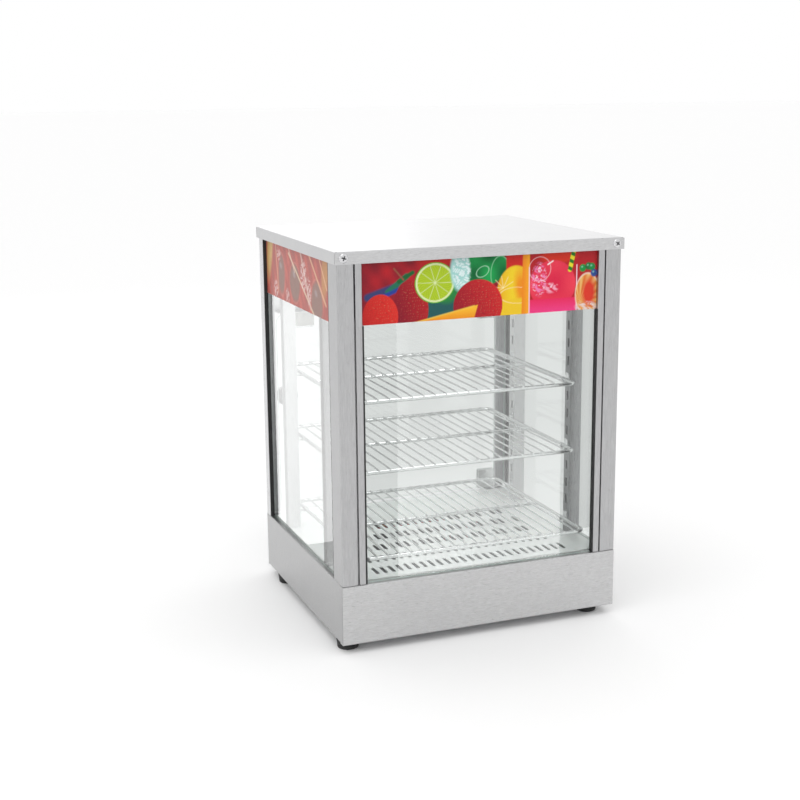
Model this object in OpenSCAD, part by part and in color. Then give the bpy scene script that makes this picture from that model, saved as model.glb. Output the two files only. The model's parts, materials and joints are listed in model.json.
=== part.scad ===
// Countertop hot food display case: folded sheet base and posts, three fixed panes, a hinged rear
// glass door, wire shelves on slotted pilasters, and a heater under a perforated deck.
// Millimetres, +Z up, front towards -Y, origin at the middle of the footprint on the counter.

/* [Case] */
// Width over the corner posts
case_w = 380; // [360:5:420]
// Depth over the corner posts
case_d = 336; // [320:4:360]
// Height of the base box, without feet
base_h = 77; // [72:1:90]
// Height from the base top to the lower edge of the roof flange
glazed_h = 399; // [380:1:420]
// Height of the turned-down roof flange
roof_h = 15; // [13:1:20]
// How far the roof stands out beyond the posts on every side
roof_over = 2.5; // [1:0.5:5]
// Sheet thickness of panels and posts
sheet = 1.2; // [1:0.1:1.5]

/* [Feet] */
// Height of a rubber foot
foot_h = 12; // [10:1:16]
// Diameter of a rubber foot
foot_d = 30; // [26:1:34]
// Left feet's centres in from the left face
foot_inset_left = 15; // [14:1:30]
// Right feet's centres in from the right face
foot_inset_right = 26; // [14:1:30]
// Front feet's centres behind the front face
foot_inset_front = 27; // [20:1:40]
// Rear feet's centres in front of the rear face
foot_inset_rear = 50; // [20:1:60]

/* [Glazing] */
// Glass thickness
glass_t = 4; // [3:0.5:5]
// How far the front glass sits behind the post faces
front_recess = 6; // [5.5:0.5:9]
// How far the side glass sits behind the post faces
side_recess = 6; // [5:0.5:8]
// Height of the printed banners
banner_h = 75; // [60:1:90]
// Thickness of the printed banners
banner_t = 0.8; // [0.5:0.1:1]

/* [Shelves] */
// Height of the top shelf above the base bottom
shelf_top_z = 296; // [290:1:310]
// Height of the middle shelf above the base bottom
shelf_middle_z = 205; // [195:1:215]
// Height of the bottom shelf above the base bottom
shelf_bottom_z = 103; // [100:1:110]
// Diameter of a shelf's frame wire
frame_wire = 5; // [4:0.5:6]
// Diameter of a shelf's thin rods
thin_wire = 2.4; // [2:0.2:3]
// Number of thin rods on a shelf
rod_count = 19; // [15:1:22]

/* [Door] */
// Height of the rear door glass
door_h = 288; // [280:1:292]
// Corner radius of the rear door glass
door_r = 15; // [8:1:20]
// Diameter of the door knob
knob_d = 30; // [24:1:36]
// How far the door knob stands out behind the glass
knob_len = 24; // [20:1:26]

/* [Hidden] */
$fn = 48;
eps = 0.2;
t = sheet;
hw = case_w / 2;
front_proud = roof_over + 2.6;
dial_gap = 1;
dial_h = 18;
rear_proud = dial_gap + dial_h;
yf = front_proud - (case_d + front_proud + rear_proud) / 2;
yr = yf + case_d;
z_base = foot_h;
z_deck = z_base + base_h;
z_flange = z_deck + glazed_h;
z_top = z_flange + roof_h;
foot_left_x = -hw + foot_inset_left;
foot_right_x = hw - foot_inset_right;
foot_front_y = yf + foot_inset_front;
foot_rear_y = yr - foot_inset_rear;
foot_well_r = 5.5;
foot_well_z = 5;
foot_hole_r = 2.3;
// Post legs: front face, side face, and the rear post's side leg
leg_front = 21.5;
leg_side = 34;
leg_rear = 17;
// Screws through the sheets
screw_r = 2;
screw_hole_r = 2.1;
// Glazing channel beside each front post
channel_x0 = leg_front + 1.2;
channel_w = 9;
seal_t = 1.6;
glass_x = hw - channel_x0 - 2.5;
front_glass_y = yf + front_recess;
side_glass_x = hw - side_recess;
side_glass_y0 = yf + 26;
side_glass_y1 = yr - 12;
glass_z1 = z_top - t - 2;
banner_z0 = z_flange - banner_h;
// Deck
deck_z = z_deck;
deck_t = 1;
deck_x = hw - 12;
deck_y0 = yf + 16;
deck_y1 = yr - 15;
slot_w = 5;
slot_l = 24;
slot_pitch = 11;
row_pitch = 43;
row_count = 5;
slots_per_row = 25;
first_row_y = yf + 42;
// Pilasters and clips
pil_x = 17;
pil_y = 14.5;
pil_gap = 0.4;
pil_face_x = hw - side_recess - glass_t - pil_gap - pil_x;
pil_front_y = yf + 80;
pil_rear_y = yf + 251;
clip_len = 13;
clip_w = 9;
// Shelves
shelf_r = 12;
shelf_hw = 154;
shelf_y0 = yf + 49;
shelf_y1 = yf + 318;
low_shelf_y0 = yf + 18;
low_shelf_y1 = yf + 292;
top_cross_y = yf + 196;
middle_cross_y = yf + 184;
low_cross_y = yf + 153;
// Rear opening and door
sill_h = 4;
door_t = 4;
door_y = yr - 8;
door_x0 = -(hw - 23);
door_x1 = hw - 23;
door_z0 = z_deck + sill_h;
door_z1 = door_z0 + door_h;
header_z0 = door_z1 + 2;
pivot_x = door_x1 - 8;
pivot_y = door_y + door_t / 2;
pivot_r = 2.5;
pin_fit = 0.05;
clamp_w = 26;
clamp_h = 28;
clamp_grip = 3;
door_knob_x = door_x0 + 18;
door_knob_z = z_base + 246;
// Controls on the rear base panel
panel_z = z_base + base_h / 2;
dial_x = -60;
switch_x = 20;
lamp_x = -15;
gland_x = 120;
rocker_y = yr - 1.5;
rocker_tilt = 9;
rocker_pin_r = 1;
rocker_pin_x = 13;
lamp_body_r = 4.9;
gland_body_r = 8;
nut_r = 11;
dial_d = 40;
panel_gap = 0.2;
shaft_r = 3;
gland_r = 4;
// Heater
heater_z = z_deck - 30;
heater_r = 4;
heater_x = 110;
heater_y0 = yf + 70;
heater_y1 = yr - 110;
tray_z = z_base + 22;

// A box from its low corner to its high corner
module span(a, b) {
  translate(a) cube([b[0] - a[0], b[1] - a[1], b[2] - a[2]]);
}

// Puts a right-hand copy of a left-hand piece on the other side
module on_right() { mirror([1, 0, 0]) children(); }

// Both sides of something that is mirrored about the middle
module both_sides() {
  children();
  on_right() children();
}

// ---- Base ----

module base_front_panel() color("gainsboro") difference() {
  union() {
    span([-hw, yf, z_base], [hw, yf + t, z_deck]);
    span([-hw + t + eps, yf, z_base], [hw - t - eps, yf + 12, z_base + t]);
    span([-hw + t + eps, yf, z_deck - t], [hw - t - eps, yf + 16, z_deck]);
  }
  both_sides() post_slot();
}

// Where a front post's tongue passes through the top fold
module post_slot() {
  span([-hw + t + eps / 2, yf + t + eps, z_deck - 2 * t], [-hw + 20, yf + 3.4, z_deck + t]);
}

module base_side_panel() difference() {
  union() {
    span([-hw, yf + t + eps, z_base], [-hw + t, yr - t - eps, z_deck]);
    span([-hw, yf + 12 + eps, z_base], [-hw + 12, yr - 12 - eps, z_base + t]);
    span([-hw, yf + 16 + eps, z_deck - t], [-hw + 16, yr - 19 - eps, z_deck]);
    span([-hw, yr - 2 * t - eps, z_base + 2 * t + eps], [-hw + 20, yr - t - eps, z_deck - t - eps]);
  }
  base_screw_places() translate([0, 0, -12]) cylinder(r = screw_hole_r, h = 14);
}

module base_left_panel() color("gainsboro") base_side_panel();

module base_right_panel() color("gainsboro") on_right() base_side_panel();

module base_rear_panel() color("gainsboro") difference() {
  union() {
    span([-hw, yr - t, z_base], [hw, yr, z_deck]);
    span([-hw + t + eps, yr - 12, z_base], [hw - t - eps, yr, z_base + t]);
    span([-hw + t + eps, yr - 19, z_deck - t], [hw - t - eps, yr, z_deck]);
  }
  rear_hole(dial_x, shaft_r + 0.6);
  rear_hole(lamp_x, lamp_body_r + panel_gap);
  rear_hole(gland_x, gland_body_r + panel_gap);
  span([switch_x - 14.1, yr - 2 * t, panel_z - 10.6], [switch_x + 14.1, yr + t, panel_z + 10.6]);
  base_screw_places() translate([0, 0, -12]) cylinder(r = screw_hole_r, h = 14);
}

// Where the rear panel is screwed to the side panels
module base_screw_places() {
  for (x = [-hw + 12, hw - 12], z = [z_base + 14, z_deck - 14])
    translate([x, yr, z]) rotate([-90, 0, 0]) children();
}

// Where the rear header is screwed to the roof liner
module header_screw_places() {
  for (x = [-hw + 40, hw - 40])
    translate([x, yr, z_flange - 7]) rotate([-90, 0, 0]) children();
}

module rear_hole(x, r) {
  translate([x, yr - 2 * t, panel_z]) rotate([-90, 0, 0]) cylinder(r = r, h = 3 * t);
}

module base_bottom_plate() color("silver") difference() {
  span([-hw + t + eps, yf + t + eps, z_base + t + eps], [hw - t - eps, yr - t - eps, z_base + 2 * t]);
  foot_places() translate([0, 0, z_base]) cylinder(r = foot_hole_r, h = 4 * t);
  for (i = [-4:4])
    span([i * 16 - 3, -20, z_base], [i * 16 + 3, 25, z_base + 4 * t]);
}

// ---- Deck ----

module slot_outline() {
  union() {
    square([slot_w, slot_l - slot_w], center = true);
    for (s = [-1, 1]) translate([0, s * (slot_l - slot_w) / 2]) circle(d = slot_w, $fn = 16);
  }
}

module deck_plate() color("gainsboro")
  translate([0, 0, deck_z])
    linear_extrude(deck_t)
      difference() {
        translate([-deck_x, deck_y0]) square([2 * deck_x, deck_y1 - deck_y0]);
        for (row = [0:row_count - 1], i = [0:slots_per_row - 1 - row % 2])
          translate([(i - (slots_per_row - 1 - row % 2) / 2) * slot_pitch, first_row_y + row * row_pitch])
            slot_outline();
      }

// ---- Posts and channels ----

// Outline of a folded angle, its outer corner at the origin
module angle_outline(leg_x, leg_y, lip) {
  polygon([
    [0, 0], [leg_x, 0], [leg_x, lip], [leg_x - t, lip], [leg_x - t, t],
    [t, t], [t, leg_y - t], [lip, leg_y - t], [lip, leg_y], [0, leg_y]
  ]);
}

module post_front() {
  difference() {
    translate([-hw, yf, z_deck + eps])
      linear_extrude(z_top - t - z_deck - 2 * eps)
        angle_outline(leg_front, leg_side, side_recess);
    roof_screw_holes();
  }
  span([-hw + t, yf + t + 2 * eps, z_base + 30], [-hw + 18, yf + 2 * t + 2 * eps, z_deck + eps]);
  span([-hw + t, yf + t, z_deck + eps], [-hw + 18, yf + 2 * t + 2 * eps, z_deck + 20]);
}

module post_front_left() color("silver") post_front();

module post_front_right() color("silver") on_right() post_front();

module post_rear() difference() {
  translate([-hw, yr, z_deck + eps])
    mirror([0, 1, 0])
      linear_extrude(z_top - t - z_deck - 2 * eps)
        angle_outline(leg_front, leg_rear, side_recess);
  roof_screw_holes();
}

module post_rear_left() color("silver") post_rear();

module post_rear_right() color("silver") on_right() post_rear();

module channel_front() {
  translate([-hw + channel_x0, yf, z_deck + eps])
    linear_extrude(z_top - t - z_deck - 2 * eps)
      difference() {
        square([channel_w, front_recess - eps]);
        translate([t, t]) square([channel_w - 2 * t, front_recess]);
      }
}

module channel_front_left() color("silver") channel_front();

module channel_front_right() color("silver") on_right() channel_front();

// ---- Roof and rear header ----

module roof_cap() color("whitesmoke") {
  roof_x = hw + roof_over;
  difference() {
    span([-roof_x, yf - roof_over, z_flange], [roof_x, yr + roof_over, z_top]);
    span([-roof_x + t, yf - roof_over + t, z_flange - t], [roof_x - t, yr + roof_over - t, z_top - t]);
    roof_screw_holes();
  }
}

// The cross-recess screws sit near the four corners, in the front and rear flanges
module roof_screw_places() {
  for (x = [-1, 1]) {
    translate([x * (hw - 8), yf - roof_over, z_flange + roof_h / 2]) rotate([90, 0, 0]) children();
    translate([x * (hw - 8), yr + roof_over, z_flange + roof_h / 2]) rotate([-90, 0, 0]) children();
  }
}

module roof_screw_holes() {
  roof_screw_places() translate([0, 0, -5]) cylinder(r = screw_hole_r, h = 7);
}

module roof_screws() color("silver")
  roof_screw_places() pan_screw(5.7, 2.6, screw_r, 8);

// A pan-head screw along +Z, its head on the plane z = 0
module pan_screw(head_r, head_h, shank_r, shank_l) {
  difference() {
    union() {
      cylinder(r = head_r, h = head_h * 0.45);
      translate([0, 0, head_h * 0.45]) cylinder(r1 = head_r, r2 = head_r * 0.62, h = head_h * 0.55);
      translate([0, 0, -shank_l]) cylinder(r = shank_r, h = shank_l + eps);
    }
    for (a = [0, 90]) rotate([0, 0, a])
      translate([-head_r * 0.42, -0.5, head_h * 0.4]) cube([head_r * 0.84, 1, head_h]);
  }
}

module roof_liner() color("whitesmoke") difference() {
  union() {
    span([-hw + 12, yf + 22, z_flange - 2], [hw - 12, yr - 24, z_flange - 2 + t]);
    span([-hw + 34, yr - 24 - eps, z_flange - 2], [hw - 34, yr - t - eps, z_flange - 2 + t]);
    span([-hw + 34, yr - 2 * t - eps, z_flange - 12], [hw - 34, yr - t - eps, z_flange - 2 + eps]);
    both_sides() span([-hw + 12, yf + 22, z_flange - 2], [-hw + 12 + t, yr - 24, z_top - t - eps]);
  }
  header_screw_places() translate([0, 0, -6]) cylinder(r = screw_hole_r, h = 8);
}

module rear_header_panel() color("gainsboro") difference() {
  union() {
    span([-hw + leg_front + eps, yr - t, header_z0], [hw - leg_front - eps, yr, z_flange - eps]);
    span([-hw + leg_front + eps, yr - 24, header_z0], [hw - leg_front - eps, yr, header_z0 + t]);
  }
  header_screw_places() translate([0, 0, -6]) cylinder(r = screw_hole_r, h = 8);
  translate([pivot_x, pivot_y, header_z0 - 1]) cylinder(r = pivot_r + 0.5, h = 4);
}

module panel_screws() color("silver") {
  base_screw_places() pan_screw(3.8, 2.4, screw_r, 6);
  header_screw_places() pan_screw(3.8, 2.4, screw_r, 6);
}

// ---- Glass, seals and banners ----

module front_glass() color("lightcyan", 0.35)
  span([-glass_x, front_glass_y, z_deck], [glass_x, front_glass_y + glass_t, glass_z1]);

module side_glass() {
  span([-side_glass_x, side_glass_y0, z_deck], [-side_glass_x + glass_t, side_glass_y1, glass_z1]);
}

module left_glass() color("lightcyan", 0.35) side_glass();

module right_glass() color("lightcyan", 0.35) on_right() side_glass();

// Black strips that close the gaps between the panes and the metal
module glazing_seals() color("black") both_sides() {
  // Along the inner side of the front channel, down to the front glass
  span([-hw + channel_x0 + channel_w, yf + 0.6, z_deck + eps],
       [-hw + channel_x0 + channel_w + seal_t, front_glass_y, banner_z0 - eps]);
  // Behind the front glass
  span([-hw + channel_x0, front_glass_y + glass_t, z_deck + eps],
       [-hw + channel_x0 + channel_w, front_glass_y + glass_t + seal_t, glass_z1]);
  // Along the front post's side leg, down to the side glass
  span([-hw + 0.6, yf + leg_side, z_deck + eps],
       [-side_glass_x, yf + leg_side + seal_t, z_flange - eps]);
  // Along the rear post's side leg, down to the side glass
  span([-hw + 0.6, yr - leg_rear - seal_t, z_deck + eps],
       [-side_glass_x, yr - leg_rear, z_flange - eps]);
}

module front_banner() color("crimson")
  span([-hw + channel_x0 + channel_w + eps, front_glass_y - banner_t, banner_z0],
       [hw - channel_x0 - channel_w - eps, front_glass_y, z_flange]);

module side_banner() {
  span([-side_glass_x - banner_t, yf + leg_side + seal_t + eps, banner_z0],
       [-side_glass_x, yr - leg_rear - seal_t - eps, z_flange]);
}

module left_banner() color("crimson") side_banner();

module right_banner() color("crimson") on_right() side_banner();

// ---- Pilasters, clips and shelves ----

// A folded upright: a channel open towards the glass, with a slot for each clip
module pilaster(y0) {
  difference() {
    span([-pil_face_x - pil_x, y0, z_deck + deck_t], [-pil_face_x, y0 + pil_y, z_flange - 2 - eps]);
    span([-pil_face_x - pil_x - t, y0 + t, z_deck], [-pil_face_x - t, y0 + pil_y - t, z_flange]);
    for (i = [0:14])
      span([-pil_face_x - 2 * t, y0 + 5, z_deck + 20 + i * 24],
           [-pil_face_x + t, y0 + 9, z_deck + 32 + i * 24]);
  }
}

module pilaster_front_left() color("silver") pilaster(pil_front_y);

module pilaster_front_right() color("silver") on_right() pilaster(pil_front_y);

module pilaster_rear_left() color("silver") pilaster(pil_rear_y);

module pilaster_rear_right() color("silver") on_right() pilaster(pil_rear_y);

// A bent tab that a shelf's side wire rests in
module shelf_clip() {
  difference() {
    translate([0, 0, -frame_wire / 2 - 3]) cube([clip_len, clip_w, 3]);
    translate([clip_len - 1.5, -1, -frame_wire / 2 - 4]) cube([3, clip_w / 3, 5]);
  }
  translate([clip_len - 1.5, clip_w / 3, -frame_wire / 2 - 3]) cube([1.5, clip_w * 2 / 3, 6]);
  translate([0, 0, -frame_wire / 2 - 3]) cube([1.5, clip_w, 9]);
}

module shelf_clips() color("white")
  both_sides()
    for (y = [pil_front_y, pil_rear_y], z = [shelf_top_z, shelf_middle_z, shelf_bottom_z])
      translate([-pil_face_x, y + (pil_y - clip_w) / 2, z_base + z]) shelf_clip();

// A quarter ring that rounds a shelf's corner
module wire_corner() {
  rotate_extrude(angle = 90) translate([shelf_r, 0]) circle(d = frame_wire, $fn = 24);
}

module wire_shelf(y0, cross_y, y1) {
  for (s = [-1, 1]) {
    translate([s * shelf_hw, y0 + shelf_r, 0]) rotate([-90, 0, 0])
      cylinder(d = frame_wire, h = y1 - y0 - 2 * shelf_r, $fn = 24);
  }
  for (y = [y0, cross_y, y1]) {
    inset = (y == cross_y) ? 0 : shelf_r;
    translate([-shelf_hw + inset, y, 0]) rotate([0, 90, 0])
      cylinder(d = frame_wire, h = 2 * (shelf_hw - inset), $fn = 24);
  }
  translate([shelf_hw - shelf_r, y1 - shelf_r, 0]) wire_corner();
  translate([-shelf_hw + shelf_r, y1 - shelf_r, 0]) rotate([0, 0, 90]) wire_corner();
  translate([-shelf_hw + shelf_r, y0 + shelf_r, 0]) rotate([0, 0, 180]) wire_corner();
  translate([shelf_hw - shelf_r, y0 + shelf_r, 0]) rotate([0, 0, 270]) wire_corner();
  rod_pitch = 2 * shelf_hw / (rod_count + 1);
  for (i = [1:rod_count])
    translate([-shelf_hw + i * rod_pitch, y0, (frame_wire + thin_wire) / 2 - 0.5])
      rotate([-90, 0, 0]) cylinder(d = thin_wire, h = y1 - y0, $fn = 16);
}

module shelf_top() color("white")
  translate([0, 0, z_base + shelf_top_z]) wire_shelf(shelf_y0, top_cross_y, shelf_y1);

module shelf_middle() color("white")
  translate([0, 0, z_base + shelf_middle_z]) wire_shelf(shelf_y0, middle_cross_y, shelf_y1);

module shelf_bottom() color("white")
  translate([0, 0, z_base + shelf_bottom_z]) wire_shelf(low_shelf_y0, low_cross_y, low_shelf_y1);

// ---- Feet ----

module foot_places()
  for (x = [foot_left_x, foot_right_x], y = [foot_front_y, foot_rear_y])
    translate([x, y, 0]) children();

module foot(x, y) {
  translate([x, y, 0])
    difference() {
      cylinder(d1 = foot_d - 4, d2 = foot_d, h = foot_h);
      translate([0, 0, -1]) cylinder(r = foot_well_r, h = foot_well_z + 1);
      translate([0, 0, -1]) cylinder(r = foot_hole_r, h = foot_h + 2);
    }
}

module foot_front_left() color("black") foot(foot_left_x, foot_front_y);

module foot_front_right() color("black") foot(foot_right_x, foot_front_y);

module foot_rear_left() color("black") foot(foot_left_x, foot_rear_y);

module foot_rear_right() color("black") foot(foot_right_x, foot_rear_y);

module foot_screws() color("silver")
  foot_places() translate([0, 0, foot_well_z]) rotate([180, 0, 0]) pan_screw(4, 2.6, 2, 14);

// ---- Heater ----

// A hairpin tube under the deck, its two ends through the rear bracket
module heating_element() color("dimgray") {
  bend = heater_x - 60;
  for (s = [-1, 1]) {
    translate([s * heater_x, heater_y0 + bend, heater_z]) rotate([-90, 0, 0])
      cylinder(r = heater_r, h = heater_y1 - heater_y0 - bend + 30, $fn = 24);
    translate([s * (heater_x - bend), heater_y0 + bend, heater_z])
      rotate([0, 0, s > 0 ? 270 : 180])
        rotate_extrude(angle = 90) translate([bend, 0]) circle(r = heater_r, $fn = 24);
  }
  translate([-(heater_x - bend), heater_y0, heater_z]) rotate([0, 90, 0])
    cylinder(r = heater_r, h = 2 * (heater_x - bend), $fn = 24);
}

module element_brackets() color("silver") {
  for (s = [-1, 1]) difference() {
    span([s * heater_x - 8, heater_y1, tray_z + 1], [s * heater_x + 8, heater_y1 + 2, heater_z + 10]);
    translate([s * heater_x, heater_y1 - 1, heater_z]) rotate([-90, 0, 0])
      cylinder(r = heater_r + eps, h = 4);
  }
  difference() {
    span([-10, heater_y0 - 8, heater_z - heater_r - 2], [10, heater_y0 + 8, heater_z - heater_r]);
    translate([0, heater_y0 - 6, heater_z - 10]) cylinder(r = 1.5, h = 12);
  }
  span([-10, heater_y0 + 6, tray_z + 1], [10, heater_y0 + 8, heater_z - heater_r - 2 + eps]);
}

module heat_shield_tray() color("silver") {
  span([-heater_x - 40, heater_y0 - 30, tray_z], [heater_x + 40, heater_y1 + 20, tray_z + 1]);
  for (s = [-1, 1])
    span([s * (heater_x + 40) - 0.5, heater_y0 - 30, tray_z + 1 - eps],
         [s * (heater_x + 40) + 0.5, heater_y1 + 20, tray_z + 10]);
  for (x = [-heater_x, heater_x], y = [heater_y0, heater_y1])
    span([x - 8, y - 8, z_base + 2 * t], [x + 8, y - 6, tray_z + eps]);
}

// ---- Controls ----

module thermostat_body() color("dimgray") {
  translate([dial_x, yr, panel_z]) rotate([90, 0, 0]) {
    translate([0, 0, t]) cylinder(r = 8, h = 4);
    translate([0, 0, t + 4]) cylinder(r = 22, h = 14);
    translate([0, 0, -11]) cylinder(r = shaft_r, h = 11 + t + eps);
  }
  span([dial_x - 16, yr - 31, panel_z - 13], [dial_x + 16, yr - 19 - t + eps, panel_z + 13]);
}

// A round lead or tube through a list of points, with a ball a little fatter than it at each corner
module lead(points, r) {
  for (i = [0:len(points) - 2]) {
    d = points[i + 1] - points[i];
    translate(points[i]) rotate([0, acos(d[2] / norm(d)), atan2(d[1], d[0])])
      cylinder(r = r, h = norm(d), $fn = 16);
  }
  for (i = [1:len(points) - 2]) translate(points[i]) sphere(r = 1.25 * r, $fn = 16);
}

// The sensing bulb lies under the deck; its capillary runs to the thermostat
module thermostat_bulb() color("peru") {
  x = dial_x - 50;
  y = yr - 60;
  z = z_deck - 12;
  translate([x, y - 70, z]) rotate([-90, 0, 0]) cylinder(r = 3, h = 70);
  lead([[x, y - 1, z], [x, y + 35, z], [dial_x, y + 35, z], [dial_x, y + 35, panel_z + 13]], 1);
}

module thermostat_knob() color("black")
  translate([dial_x, yr + dial_gap, panel_z]) rotate([-90, 0, 0]) difference() {
    union() {
      cylinder(d = dial_d, h = 4);
      translate([0, 0, 3]) cylinder(d1 = 32, d2 = 29, h = dial_h - 4);
      translate([-3, -17, 3]) cube([6, 34, dial_h - 3]);
    }
    translate([0, 0, -1]) cylinder(r = shaft_r + pin_fit, h = 12);
  }

module switch_frame() color("black") difference() {
  union() {
    span([switch_x - 16, yr, panel_z - 12.5], [switch_x + 16, yr + 2, panel_z + 12.5]);
    span([switch_x - 14, yr - 22, panel_z - 10.5], [switch_x + 14, yr + eps, panel_z + 10.5]);
  }
  span([switch_x - 11.5, yr - 8, panel_z - 8.5], [switch_x + 11.5, yr + 3, panel_z + 8.5]);
  translate([switch_x - rocker_pin_x - 0.2, rocker_y, panel_z]) rotate([0, 90, 0])
    cylinder(r = rocker_pin_r + pin_fit, h = 2 * rocker_pin_x + 0.4);
}

// The rocker turns on two small trunnions along X, and rests tipped to its off side
module switch_rocker() color("firebrick")
  translate([switch_x, rocker_y, panel_z]) rotate([-rocker_tilt, 0, 0]) {
    translate([-11, 0, 0]) rotate([0, 90, 0]) linear_extrude(22) polygon([
      [-7, 1], [-5.5, -3.5], [5.5, -3.5], [7, 1], [7, 3.8], [0, 2.2], [-7, 3.8]
    ]);
    translate([-rocker_pin_x, 0, 0]) rotate([0, 90, 0]) cylinder(r = rocker_pin_r, h = 2 * rocker_pin_x);
  }

module indicator_lamp() color("orange")
  translate([lamp_x, yr, panel_z]) rotate([-90, 0, 0]) {
    cylinder(r = 6.5, h = 1.5);
    translate([0, 0, 1.5 - eps]) cylinder(r1 = 5, r2 = 4, h = 3);
    translate([0, 0, -18]) cylinder(r = lamp_body_r, h = 18.1);
  }

module terminal_block() color("white") {
  x0 = gland_x - 40;
  difference() {
    span([x0 - 24, yr - 70, z_base + 2 * t], [x0 + 24, yr - 52, z_base + 2 * t + 14]);
    for (i = [-2:2]) translate([x0 + i * 9, yr - 61, z_base + 10]) cylinder(r = 2, h = 12);
  }
}

// Leads from the terminal block to the heater, the thermostat, the switch and the lamp
module wiring() color("firebrick") {
  x0 = gland_x - 40;
  yt = yr - 61;
  zt = z_base + 12;
  end_y = heater_y1 + 30;
  lead([[x0 + 18, yt, zt], [x0 + 18, yt, heater_z], [heater_x, yt, heater_z],
        [heater_x, end_y, heater_z]], 1.3);
  lead([[x0 - 18, yt, zt], [x0 - 18, yt, heater_z + 7], [-heater_x, yt, heater_z + 7],
        [-heater_x, yt, heater_z], [-heater_x, end_y, heater_z]], 1.3);
  lead([[x0, yt, zt], [x0, yt, panel_z - 10], [x0, yr - 45, panel_z - 10],
        [dial_x + 10, yr - 45, panel_z - 10], [dial_x + 10, yr - 31, panel_z - 10]], 1.3);
  lead([[x0 - 9, yt, zt], [x0 - 9, yt, panel_z], [x0 - 9, yr - 38, panel_z],
        [switch_x + 6, yr - 38, panel_z], [switch_x + 6, yr - 22, panel_z]], 1.3);
  lead([[switch_x - 6, yr - 22, panel_z], [switch_x - 6, yr - 33, panel_z],
        [lamp_x, yr - 33, panel_z], [lamp_x, yr - 18, panel_z]], 1.3);
}

module cable_gland() color("black")
  translate([gland_x, yr, panel_z]) rotate([-90, 0, 0]) difference() {
    union() {
      cylinder(r = nut_r, h = 5, $fn = 6);
      translate([0, 0, 5 - eps]) cylinder(r = nut_r - 2, h = 10);
      translate([0, 0, -14]) cylinder(r = gland_body_r, h = 14.1);
    }
    translate([0, 0, -20]) cylinder(r = gland_r, h = 40);
  }

module gland_nut() color("black")
  translate([gland_x, yr - t, panel_z]) rotate([90, 0, 0]) difference() {
    cylinder(r = nut_r, h = 5, $fn = 6);
    translate([0, 0, -1]) cylinder(r = gland_body_r + pin_fit, h = 8);
  }

// ---- Rear door ----

module door_glass() color("lightcyan", 0.35)
  translate([0, door_y + door_t, 0]) rotate([90, 0, 0]) linear_extrude(door_t) difference() {
    union() {
      translate([door_x0, door_z0 + door_r]) square([door_x1 - door_x0, door_h - 2 * door_r]);
      translate([door_x0 + door_r, door_z0]) square([door_x1 - door_x0 - 2 * door_r, door_h]);
      for (x = [door_x0 + door_r, door_x1 - door_r], z = [door_z0 + door_r, door_z1 - door_r])
        translate([x, z]) circle(r = door_r);
    }
    translate([door_knob_x, door_knob_z]) circle(r = 3);
  }

module door_knob() color("black")
  translate([door_knob_x, door_y, door_knob_z]) rotate([-90, 0, 0]) {
    translate([0, 0, -5]) cylinder(r = 9, h = 5);
    translate([0, 0, -eps]) cylinder(r = 2.9, h = door_t + 2 * eps);
    translate([0, 0, door_t]) cylinder(r = 7, h = 8);
    translate([0, 0, door_t + 6]) cylinder(d1 = knob_d - 6, d2 = knob_d, h = 6);
    translate([0, 0, door_t + 12 - eps]) cylinder(d = knob_d, h = knob_len - 15 - door_t + 6);
  }

// Metal clamps that grip the glass at its two pivot corners and carry the pivot pins
module door_pivot_clamps() color("silver") {
  difference() {
    union() {
      for (z = [door_z0 - 1, door_z1 - clamp_h])
        span([pivot_x + 6 - clamp_w, door_y - clamp_grip, z],
             [pivot_x + 6, door_y + door_t + clamp_grip, z + clamp_h + 1]);
    }
    span([pivot_x - 30, door_y, door_z0], [pivot_x + 30, door_y + door_t, door_z1]);
  }
  translate([pivot_x, pivot_y, door_z0 - 3.2]) cylinder(r = pivot_r, h = 2.4);
  translate([pivot_x, pivot_y, door_z1 + 0.8]) cylinder(r = pivot_r, h = 4.2);
}

// Strike plate clipped over the free edge of the glass near the top
module door_strike_plate() color("silver") difference() {
  span([door_x0 + 24, door_y - 1.5, door_z1 - 22], [door_x0 + 52, door_y + door_t + 1.5, door_z1 + 0.5]);
  span([door_x0 + 20, door_y, door_z1 - 30], [door_x0 + 60, door_y + door_t, door_z1]);
}

// Plates that the door's pins turn in, on the base top and above the header's fold
module door_pivot_brackets() color("silver") difference() {
  union() {
    span([pivot_x - 12, door_y - 4, z_deck], [pivot_x + 6, door_y + door_t + 3, z_deck + 2.5]);
    span([pivot_x - 12, door_y - 4, header_z0 + t], [pivot_x + 6, door_y + door_t + 2, header_z0 + t + 2.5]);
  }
  translate([pivot_x, pivot_y, z_deck - 1]) cylinder(r = pivot_r + pin_fit, h = header_z0 - z_deck + 9);
}

// Magnet block that holds the strike plate
module door_catch() color("dimgray")
  span([door_x0 + 26, door_y - 14, door_z1 - 18], [door_x0 + 50, door_y - 1.8, header_z0]);

base_front_panel();
base_left_panel();
base_right_panel();
base_rear_panel();
base_bottom_plate();
deck_plate();
post_front_left();
post_front_right();
post_rear_left();
post_rear_right();
channel_front_left();
channel_front_right();
roof_cap();
roof_liner();
rear_header_panel();
front_glass();
left_glass();
right_glass();
glazing_seals();
front_banner();
left_banner();
right_banner();
pilaster_front_left();
pilaster_front_right();
pilaster_rear_left();
pilaster_rear_right();
shelf_clips();
shelf_top();
shelf_middle();
shelf_bottom();
foot_front_left();
foot_front_right();
foot_rear_left();
foot_rear_right();
foot_screws();
roof_screws();
panel_screws();
heating_element();
element_brackets();
heat_shield_tray();
thermostat_body();
thermostat_bulb();
thermostat_knob();
switch_frame();
switch_rocker();
indicator_lamp();
terminal_block();
wiring();
cable_gland();
gland_nut();
door_glass();
door_knob();
door_pivot_clamps();
door_strike_plate();
door_pivot_brackets();
door_catch();
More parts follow.
